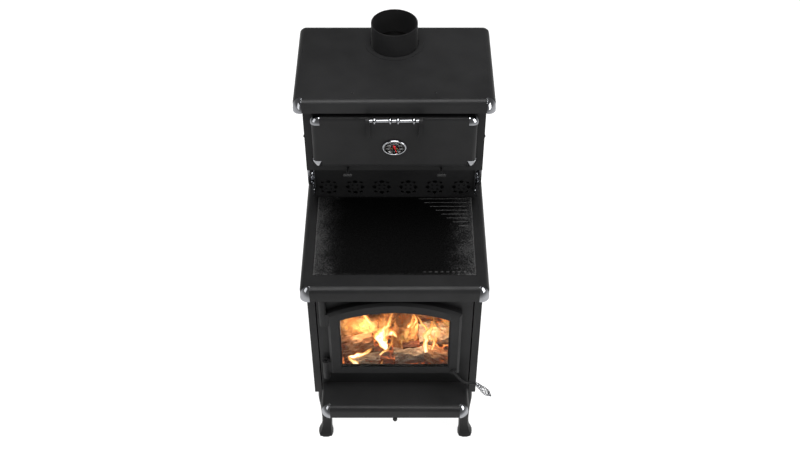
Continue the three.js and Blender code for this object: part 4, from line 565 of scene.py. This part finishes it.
LOGS = [
    ("log_left", (-228, 178, 386), (-82, 200, 402), 36, 1.3, BROWN),
    ("log_front_left", (-168, 128, 363), (-58, 150, 366), 23, 2.1, ASHEN),
    ("log_front_left_upper", (-190, 160, 352), (-92, 158, 360), 18, 2.9, BROWN),
    ("ember_stub", (-62, 137, 353), (4, 134, 352), 14, 3.7, COAL),
    ("log_middle", (-2, 148, 368), (106, 160, 376), 32, 4.4, ASHEN),
    ("log_middle_end", (28, 176, 396), (92, 182, 398), 17, 5.2, COAL),
    ("log_upright", (32, 232, 345), (42, 246, 462), 46, 6.6, ORANGE),
    ("log_right", (112, 166, 372), (222, 126, 366), 31, 7.5, BROWN),
    ("log_right_rear", (96, 255, 380), (228, 235, 402), 40, 8.1, ASHEN),
    ("log_top", (-46, 302, 402), (52, 314, 446), 34, 9.4, BROWN),
    ("log_rear_left", (-215, 270, 392), (-58, 262, 420), 42, 10.2, ORANGE),
    ("log_rear", (-150, 370, 372), (150, 360, 380), 38, 11.6, BROWN),
]
for name, start, end, radius, seed, material in LOGS:
    log(name, start, end, radius, seed, material)


ASH_LEFT, ASH_WIDE = -226, 452
ASH_FRONT, ASH_LONG = 70, 400
ASH_UNDER, ASH_RIM = 339.9, 340.4  # its underside, and its top at the rim


def ash_bed():
    """A lumpy bed of ash over the brick floor, thin at its rim."""
    across, deep = 46, 34
    vertices, faces = [], []
    for level in (1, 0):
        for j in range(deep):
            for i in range(across):
                u, v = i / (across - 1), j / (deep - 1)
                rim = min(1.0, 7 * min(u, 1 - u, v, 1 - v))
                x, y = ASH_LEFT + ASH_WIDE * u, ASH_FRONT + ASH_LONG * v
                lump = noise.noise(Vector((x, y, 0)) / 42) + 0.6 * noise.noise(Vector((x, y, 50)) / 17)
                high = ASH_RIM + rim * (6 + 5 * max(-0.8, lump))
                vertices.append(at(x, y, high if level else ASH_UNDER))
    count = across * deep
    for j in range(deep - 1):
        for i in range(across - 1):
            a = j * across + i
            faces.append((a, a + 1, a + across + 1, a + across))
            faces.append((count + a + across, count + a + across + 1, count + a + 1, count + a))
    ring = list(range(across))
    ring += [j * across + across - 1 for j in range(1, deep)]
    ring += [(deep - 1) * across + i for i in range(across - 2, -1, -1)]
    ring += [j * across for j in range(deep - 2, 0, -1)]
    for a, b in zip(ring, ring[1:] + ring[:1]):
        faces.append((b, a, a + count, b + count))
    smooth(piece("ash_bed", vertices, faces, make_embers()))


ash_bed()

FLAME_STEPS = 26
FLAME_SIDES = 12
FLAME_THICK = 0.32
FLAME_SWAY = 0.35
FLAME_RAGGED = 0.45
FACING = Vector((0.0, -0.7, 0.7))  # a flame's broad side turns towards this, forward and up


def along_path(points, share):
    """A place on the smooth curve through four-number points."""
    spot = share * (len(points) - 1)
    i = min(int(spot), len(points) - 2)
    t = spot - i
    p0, p1 = points[max(i - 1, 0)], points[i]
    p2, p3 = points[i + 1], points[min(i + 2, len(points) - 1)]
    return [
        0.5 * (2 * b + (c - a) * t + (2 * a - 5 * b + 4 * c - d) * t * t + (3 * b - a - 3 * c + d) * t ** 3)
        for a, b, c, d in zip(p0, p1, p2, p3)
    ]


def flame(name, points, material):
    """A tongue of fire: points of x, y, z and width from its base to its tip."""
    spine = [along_path(points, i / (FLAME_STEPS - 1)) for i in range(FLAME_STEPS)]
    vertices, faces, across, along = [], [], [], []
    for i, (x, y, z, wide) in enumerate(spine):
        before, after = spine[max(i - 1, 0)], spine[min(i + 1, FLAME_STEPS - 1)]
        way = Vector((after[0] - before[0], after[1] - before[1], after[2] - before[2])).normalized()
        side = way.cross(FACING).normalized()
        front = side.cross(way).normalized()
        flicker = noise.noise(Vector((x, y, z)) / 23) * FLAME_SWAY * wide
        ragged = max(wide, 1.0) * (1 + FLAME_RAGGED * noise.noise(Vector((z, x, y)) / 13))
        centre = at(x, y, z) + side * flicker / 1000
        for k in range(FLAME_SIDES):
            turn = 2 * math.pi * k / FLAME_SIDES
            off = side * math.cos(turn) + front * math.sin(turn) * FLAME_THICK
            vertices.append(centre + off * ragged / 2000)
            across.append(math.cos(turn))
            along.append(i / (FLAME_STEPS - 1))
    for i in range(FLAME_STEPS - 1):
        for k in range(FLAME_SIDES):
            a, b = i * FLAME_SIDES + k, i * FLAME_SIDES + (k + 1) % FLAME_SIDES
            faces.append((a, b, b + FLAME_SIDES, a + FLAME_SIDES))
    faces.append(tuple(reversed(range(FLAME_SIDES))))
    faces.append(tuple(range((FLAME_STEPS - 1) * FLAME_SIDES, FLAME_STEPS * FLAME_SIDES)))
    smooth(piece(name, vertices, faces, material, attributes={"across": across, "along": along}))


WHITE_HOT = make_flame("flame_white_hot", 1.35, 1.0)
YELLOW = make_flame("flame_yellow", 0.84, 0.85, 0.25)
VEIL = make_flame("flame_veil", 0.58, 0.42, -0.1)

FLAMES = [
    ("flame_core", WHITE_HOT, [
        (-35, 200, 352, 18), (-46, 200, 378, 34), (-53, 200, 411, 52), (-42, 200, 448, 50),
        (-32, 200, 480, 26), (-19, 200, 527, 16), (-8, 200, 564, 6)]),
    ("flame_branch", WHITE_HOT, [
        (14, 215, 381, 9), (7, 215, 410, 22), (22, 215, 434, 26), (44, 215, 457, 22), (62, 215, 492, 15),
        (66, 215, 532, 7)]),
    ("flame_arch", WHITE_HOT, [
        (-34, 205, 423, 14), (-16, 205, 446, 24), (-1, 205, 434, 20), (10, 205, 405, 8)]),
    ("flame_thin", YELLOW, [
        (-76, 150, 352, 9), (-53, 150, 384, 13), (-27, 150, 414, 11), (-12, 150, 449, 12),
        (-8, 150, 490, 7)]),
    ("flame_low_left", WHITE_HOT, [
        (-174, 120, 405, 9), (-152, 120, 408, 17), (-122, 120, 422, 20), (-100, 120, 440, 15),
        (-85, 120, 455, 7)]),
    ("flame_low_front", WHITE_HOT, [
        (-127, 110, 352, 13), (-145, 110, 376, 17), (-159, 110, 399, 15), (-173, 110, 423, 9)]),
    ("flame_right", WHITE_HOT, [
        (114, 150, 346, 10), (119, 150, 366, 15), (113, 150, 420, 16), (112, 150, 467, 24),
        (120, 150, 507, 26), (131, 150, 541, 15), (137, 150, 575, 6)]),
    ("flame_right_loop", YELLOW, [
        (134, 160, 396, 7), (144, 160, 437, 16), (136, 160, 472, 15), (121, 160, 501, 7)]),
    ("flame_spot", YELLOW, [(33, 170, 385, 8), (29, 170, 392, 14), (22, 170, 413, 5)]),
    ("flame_left_edge", YELLOW, [
        (-203, 240, 396, 12), (-190, 240, 410, 24), (-181, 240, 430, 15), (-169, 240, 456, 8),
        (-146, 240, 491, 5)]),
    ("flame_ember_edge", YELLOW, [(-66, 120, 348, 8), (-52, 118, 366, 10), (-46, 118, 388, 5)]),
    ("flame_front_right", YELLOW, [(16, 118, 346, 8), (42, 116, 356, 9), (78, 116, 352, 5)]),
    ("veil_left_low", VEIL, [
        (-150, 230, 400, 60), (-140, 232, 440, 80), (-118, 235, 490, 64), (-90, 238, 545, 26)]),
    ("veil_left_wisp", YELLOW, [
        (-88, 235, 450, 8), (-106, 236, 492, 13), (-124, 238, 528, 10), (-150, 240, 560, 4)]),
    ("veil_left_high", VEIL, [
        (-196, 250, 430, 46), (-170, 252, 480, 54), (-130, 255, 520, 42), (-96, 258, 560, 20)]),
    ("veil_middle", VEIL, [
        (-62, 245, 400, 60), (-48, 247, 450, 84), (-22, 250, 500, 60), (0, 252, 560, 22)]),
    ("veil_middle_right", VEIL, [
        (30, 190, 400, 40), (44, 192, 450, 62), (66, 195, 505, 46), (84, 198, 556, 18)]),
    ("veil_right_wisp", YELLOW, [
        (62, 205, 470, 9), (76, 206, 508, 13), (70, 207, 540, 9), (58, 208, 566, 4)]),
    ("veil_right_wisp_upper", YELLOW, [
        (126, 175, 478, 8), (104, 176, 522, 13), (86, 178, 556, 8), (78, 178, 570, 4)]),
    ("veil_right_high", VEIL, [
        (150, 190, 420, 50), (152, 192, 480, 60), (140, 195, 530, 44), (120, 198, 572, 18)]),
    ("veil_right_edge", VEIL, [
        (205, 210, 410, 30), (196, 212, 470, 40), (170, 215, 530, 30), (150, 217, 566, 12)]),
]
for name, material, points in FLAMES:
    flame(name, points, material)


# ------------------------------------------------------------------ dial marks

dial_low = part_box("gauge_dial")[0]
bezel_low, bezel_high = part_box("gauge_bezel")
DIAL_MIDDLE = Vector((MIDDLE_X, dial_low.y, (bezel_low.z + bezel_high.z) / 2))
PRINT_GREY = make_enamel("dial_print_grey", (0.30, 0.30, 0.31))
PRINT_PALE = make_enamel("dial_print_pale", (0.50, 0.50, 0.51))
PRINT_RED = make_enamel("dial_print_red", (0.50, 0.02, 0.03))
PRINT_GREEN = make_enamel("dial_print_green", (0.24, 0.30, 0.07))
PRINT_TEAL = make_enamel("dial_print_teal", (0.03, 0.20, 0.19))
PRINT_BACK, PRINT_FRONT = 0.00001, 0.00012  # metres in front of the dial's face
NUMBER_MIDDLE, NUMBER_HALF_THICK = 0.00007, 0.00006
NUMBER_SIZE = 0.0088
NUMBER_PLACES = [(-21, -6), (-18.5, 7), (-7.5, 14.5), (6.5, 14.5), (18, 7), (21, -6)]
TICKS = 31
TICK_START, TICK_SWEEP = 205, 230  # degrees
TICK_OVAL = (33.0, 24.0)
TICK_SHORT, TICK_LONG = 1.8, 3.2
TICK_HALF_WIDE = 0.22


def on_dial(x, z, out=0.0):
    return DIAL_MIDDLE + Vector((x / 1000, -out, z / 1000))


def printed(name, outlines, material):
    """Thin closed shapes of ink on the dial, each from its outline in millimetres."""
    vertices, faces = [], []
    for outline in outlines:
        first, count = len(vertices), len(outline)
        vertices += [on_dial(x, z, PRINT_BACK) for x, z in outline]
        vertices += [on_dial(x, z, PRINT_FRONT) for x, z in outline]
        faces.append(tuple(first + k for k in reversed(range(count))))
        faces.append(tuple(first + count + k for k in range(count)))
        for k in range(count):
            a, b = first + k, first + (k + 1) % count
            faces.append((a, b, b + count, a + count))
    piece(name, vertices, faces, material, "oven_door")


def arc(radius_x, radius_z, thick, start, end, steps=14, x=0.0, z=0.0):
    """The outline of a bent bar round the dial's middle."""
    outline = []
    for inner, order in ((0.0, range(steps + 1)), (thick, range(steps, -1, -1))):
        for k in order:
            a = math.radians(start + (end - start) * k / steps)
            outline.append((x + (radius_x - inner) * math.cos(a), z + (radius_z - inner) * math.sin(a)))
    return outline


def number(value, x, z):
    data = bpy.data.curves.new(f"dial_number_{value}", "FONT")
    data.body = str(value)
    data.size = NUMBER_SIZE
    data.extrude = NUMBER_HALF_THICK
    data.align_x = "CENTER"
    data.align_y = "CENTER"
    data.materials.append(PRINT_GREY)
    text = bpy.data.objects.new(f"dial_number_{value}", data)
    text.location = on_dial(x, z, NUMBER_MIDDLE)
    text.rotation_euler = (math.radians(90), 0, 0)
    scene.collection.objects.link(text)
    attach(text, "oven_door")


for value, (x, z) in zip(range(100, 700, 100), NUMBER_PLACES):
    number(value, x, z)
ticks = []
for step in range(TICKS):
    angle = math.radians(TICK_START - TICK_SWEEP * step / (TICKS - 1))
    long = TICK_SHORT if step % 5 else TICK_LONG
    cosine, sine = math.cos(angle), math.sin(angle)
    outer = Vector((TICK_OVAL[0] * cosine, TICK_OVAL[1] * sine))
    inner = Vector(((TICK_OVAL[0] - long) * cosine, (TICK_OVAL[1] - long) * sine))
    wide = Vector((-sine, cosine)) * TICK_HALF_WIDE
    ticks.append([tuple(p) for p in (outer - wide, outer + wide, inner + wide, inner - wide)])
printed("dial_ticks", ticks, PRINT_GREY)
printed("dial_red_arc", [arc(6.6, 6.2, 1.7, 25, 155)], PRINT_RED)
printed("dial_red_scale", [arc(12.5, 10.5, 0.7, 190, 215), arc(12.5, 10.5, 0.7, -35, -10)], PRINT_RED)
printed("dial_green_band", [arc(11.5, 9.5, 3.0, 202, 226), arc(11.5, 9.5, 3.0, -46, -22)], PRINT_GREEN)
printed("dial_teal_dots", [arc(1.7, 1.7, 1.6, 0, 340, 12, x, -15) for x in (-1, 9)], PRINT_TEAL)
feet = [arc(30.0, 23.5, 4.6, start, start + 18, 8) for start in (228, 294)]
printed("dial_pale_feet", feet, PRINT_PALE)


# ------------------------------------------------------------------ ribs on the cooktop plate

PLATE_TOP = 1000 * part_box("cooktop_plate")[1].z
RIB_RIGHT = 256
RIB_WIDE = 2.2
RIB_HIGH = 0.7
RIB_SUNK = 0.05
RIB_END_SLOPE = 0.8
RIB_PITCH = 19.5
RIB_COUNT = 8
RIB_SECTION = (
    (-RIB_WIDE / 2, -RIB_SUNK), (-RIB_WIDE / 5, RIB_HIGH),
    (RIB_WIDE / 5, RIB_HIGH), (RIB_WIDE / 2, -RIB_SUNK),
)


def ribs(name, spans):
    """Low ridges with sloping sides along x, each from x0 to x1 at a y."""
    vertices, faces = [], []
    for x0, x1, y in spans:
        first = len(vertices)
        for x, end in ((x0, 1), (x1, -1)):
            for dy, up in RIB_SECTION:
                inset = RIB_END_SLOPE * end if up > 0 else 0
                vertices.append(at(x + inset, y + dy, PLATE_TOP + up))
        faces += [tuple(first + k for k in (0, 1, 2, 3)), tuple(first + k for k in (7, 6, 5, 4))]
        for k in range(4):
            a, b = first + k, first + (k + 1) % 4
            faces.append((a, a + 4, b + 4, b))
    piece(name, vertices, faces, RIB_HIGHLIGHT_GREY, "stove")


# The ribs get a light grey, a painted highlight for the light their ridges catch; the plate's iron itself
# is near black.
RIB_HIGHLIGHT_GREY = make_enamel("cooktop_rib_painted_highlight", (0.085, 0.085, 0.085), 0.4)
ribs("cooktop_ribs", [(85.5 + RIB_PITCH * i, RIB_RIGHT, 436.8 - RIB_PITCH * i) for i in range(RIB_COUNT)])
ribs("cooktop_rib_ends", [(95 + RIB_PITCH * i, 105 + RIB_PITCH * i, 82) for i in range(RIB_COUNT)])


# ------------------------------------------------------------------ grip

# The grip's axis at rest, from its collar to its tip
GRIP_ROOT, GRIP_END = Vector((299.3, -21.5, 420.8)), Vector((340.8, -53.7, 404.6))
INNER_WIRES = 5
INNER_TURNS = -0.75
INNER_LEAST, INNER_SWELL = 2.4, 6.4  # from the axis at a wire's ends, and what it swells by
SWELL_SKEW, SWELL_POWER = 1.4, 1.2
WIRE_RINGS = 26
WIRE_SIDES = 8
WIRE_RADIUS = 1.0


def inner_wires(name):
    """The second layer of the coil grip: wires that turn against the outer ones, inside them."""
    axis = (GRIP_END - GRIP_ROOT).normalized()
    across = axis.cross(Vector((0, 0, 1))).normalized()
    upward = across.cross(axis)
    vertices, faces = [], []
    for wire in range(INNER_WIRES):
        first = len(vertices)
        for i in range(WIRE_RINGS):
            share = i / (WIRE_RINGS - 1)
            turn = 2 * math.pi * (wire / INNER_WIRES + INNER_TURNS * share)
            out = across * math.cos(turn) + upward * math.sin(turn)
            reach = INNER_LEAST + INNER_SWELL * math.sin(math.pi * share ** SWELL_SKEW) ** SWELL_POWER
            centre = GRIP_ROOT.lerp(GRIP_END, share) + out * reach
            side = axis.cross(out).normalized()
            for k in range(WIRE_SIDES):
                angle = 2 * math.pi * k / WIRE_SIDES
                off = out * math.cos(angle) + side * math.sin(angle)
                vertices.append(at(*(centre + WIRE_RADIUS * off)))
        for i in range(WIRE_RINGS - 1):
            for k in range(WIRE_SIDES):
                a, b = first + i * WIRE_SIDES + k, first + i * WIRE_SIDES + (k + 1) % WIRE_SIDES
                faces.append((a, b, b + WIRE_SIDES, a + WIRE_SIDES))
        faces.append(tuple(range(first + WIRE_SIDES - 1, first - 1, -1)))
        last = first + (WIRE_RINGS - 1) * WIRE_SIDES
        faces.append(tuple(range(last, last + WIRE_SIDES)))
    smooth(piece(name, vertices, faces, CHROME, "door_latch"))


inner_wires("grip_inner_wires")


# ------------------------------------------------------------------ fasteners

for k, x in enumerate((-131, 131)):
    screw(f"roof_screw_{k + 1}", at(x, 310, 1488), (0, 0, 1), size=0.8)
for k, side in enumerate((-1, 1)):
    screw(f"oven_side_screw_{k + 1}", at(side * 292, 312, 1311), (side, 0, 0), size=1.1)
shield_face = 1000 * (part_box("heat_shield_right")[1].x - MIDDLE_X)
for side, word in ((-1, "left"), (1, "right")):
    for k, (y, z) in enumerate(((84, 360), (84, 860), (610, 360), (610, 860))):
        screw(f"shield_screw_{word}_{k + 1}", at(side * shield_face, y, z), (side, 0, 0))
rear_face = 1000 * (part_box("heat_shield_rear")[1].y - FRONT_Y)
for k, (x, z) in enumerate(((-230, 360), (230, 360), (-230, 860), (230, 860), (0, 360), (0, 860))):
    screw(f"rear_shield_screw_{k + 1}", at(x, rear_face, z), (0, 1, 0))
oven_back = 1000 * (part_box("oven_cabinet")[1].y - FRONT_Y)
for k, (x, z) in enumerate(((-270, 1200), (270, 1200), (-270, 1450), (270, 1450), (-90, 1450), (90, 1450))):
    screw(f"oven_back_screw_{k + 1}", at(x, oven_back, z), (0, 1, 0), size=0.8)
retainer_back = 1000 * (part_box("glass_retainer")[1].y - FRONT_Y)
for k, (x, z) in enumerate(((-193, 540), (193, 540), (-193, 700), (193, 700), (-90, 471), (90, 471))):
    screw(f"retainer_screw_{k + 1}", at(x, retainer_back, z), (0, 1, 0), "firebox_door", 0.7)
BARREL_BACK = 12.5  # the pin's axis behind the hinge's front
PIN_HEAD_PROFILE = [(7.5, 0.0), (7.5, 1.2), (6.2, 2.8), (3.6, 3.9), (0.5, 4.3)]
hinge_low, hinge_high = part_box("hinge_upper")
hinge_x = 1000 * ((hinge_low.x + hinge_high.x) / 2 - MIDDLE_X)
hinge_y = 1000 * (hinge_low.y - FRONT_Y) + BARREL_BACK
turned("hinge_pin_head", at(hinge_x, hinge_y, 1000 * hinge_high.z), (0, 0, 1),
       PIN_HEAD_PROFILE, CAST, "stove", 24)


# ------------------------------------------------------------------ camera, floor and light

# Solved from the photo: in front of the stove, above it, looking down at 45 degrees
CAMERA_PLACE = (18, -2422, 3637)
CAMERA_TILT = 45
CAMERA_LENS = 49.68
SENSOR_WIDE = 36.0
camera_data = bpy.data.cameras.new("camera")
camera_data.lens = CAMERA_LENS
camera_data.sensor_width = SENSOR_WIDE
camera = bpy.data.objects.new("camera", camera_data)
camera.location = at(*CAMERA_PLACE)
camera.rotation_euler = (math.radians(CAMERA_TILT), 0, 0)
scene.collection.objects.link(camera)
scene.camera = camera
scene.view_settings.view_transform = "Standard"
scene.view_settings.look = "None"

floor_nodes = Nodes("pale_floor")
floor_nodes.set(
    Base_Color=(0.25, 0.25, 0.25, 1.0), Roughness=0.9, Specular_IOR_Level=0.0,
    Emission_Color=(1.0, 1.0, 1.0, 1.0), Emission_Strength=0.96,
)
FLOOR_REACH = 9.0
FLOOR_Z = -0.001
floor_mesh = bpy.data.meshes.new("floor")
floor_mesh.from_pydata(
    [(x * FLOOR_REACH, y * FLOOR_REACH, FLOOR_Z) for x, y in ((-1, -1), (1, -1), (1, 1), (-1, 1))],
    [], [(0, 1, 2, 3)],
)
floor_mesh.materials.append(floor_nodes.material)
floor = bpy.data.objects.new("floor", floor_mesh)
scene.collection.objects.link(floor)


SKY_LEVELS = [(0.0, 0.95), (0.10, 0.60), (0.32, 0.22), (0.75, 0.14), (1.0, 0.30)]  # horizon to zenith


def studio_world():
    """Bright at the horizon and darker above it, as in a room with a lit floor."""
    world = bpy.data.worlds.new("studio")
    scene.world = world
    world.use_nodes = True
    tree = world.node_tree
    make = tree.nodes.new
    place = make("ShaderNodeTexCoord")
    split = make("ShaderNodeSeparateXYZ")
    ramp = make("ShaderNodeValToRGB")
    elements = ramp.color_ramp.elements
    while len(elements) < len(SKY_LEVELS):
        elements.new(0.5)
    for element, (position, level) in zip(elements, SKY_LEVELS):
        element.position = position
        element.color = (level, level, level, 1.0)
    tree.links.new(place.outputs["Generated"], split.inputs["Vector"])
    tree.links.new(split.outputs["Z"], ramp.inputs["Fac"])
    tree.links.new(ramp.outputs["Color"], tree.nodes["Background"].inputs["Color"])


studio_world()


FLAME_LIGHT = (1.0, 0.72, 0.46)
FLAME_SOFTNESS = 0.04


def softbox(name, place, target, width, depth, power):
    data = bpy.data.lights.new(name, "AREA")
    data.shape = "RECTANGLE"
    data.size, data.size_y = width, depth
    data.energy = power
    lamp = bpy.data.objects.new(name, data)
    lamp.location = place
    lamp.rotation_euler = (Vector(target) - Vector(place)).to_track_quat("-Z", "Y").to_euler()
    scene.collection.objects.link(lamp)


def fire_light(name, place, power):
    data = bpy.data.lights.new(name, "POINT")
    data.color = FLAME_LIGHT
    data.energy = power
    data.shadow_soft_size = FLAME_SOFTNESS
    lamp = bpy.data.objects.new(name, data)
    lamp.location = place
    lamp.visible_camera = False
    lamp.visible_transmission = False
    scene.collection.objects.link(lamp)


softbox("top_light", (0.0, -0.9, 5.0), (0, 0, 0), 3.0, 2.8, 270)
softbox("left_light", (-3.6, -2.0, 3.2), (0, 0, 0.9), 1.4, 2.0, 18)
softbox("right_light", (3.6, -2.0, 3.2), (0, 0, 0.9), 1.4, 2.0, 65)
fire_light("fire_light_left", at(-120, 215, 468), 1.15)
fire_light("fire_light_right", at(120, 200, 468), 1.15)
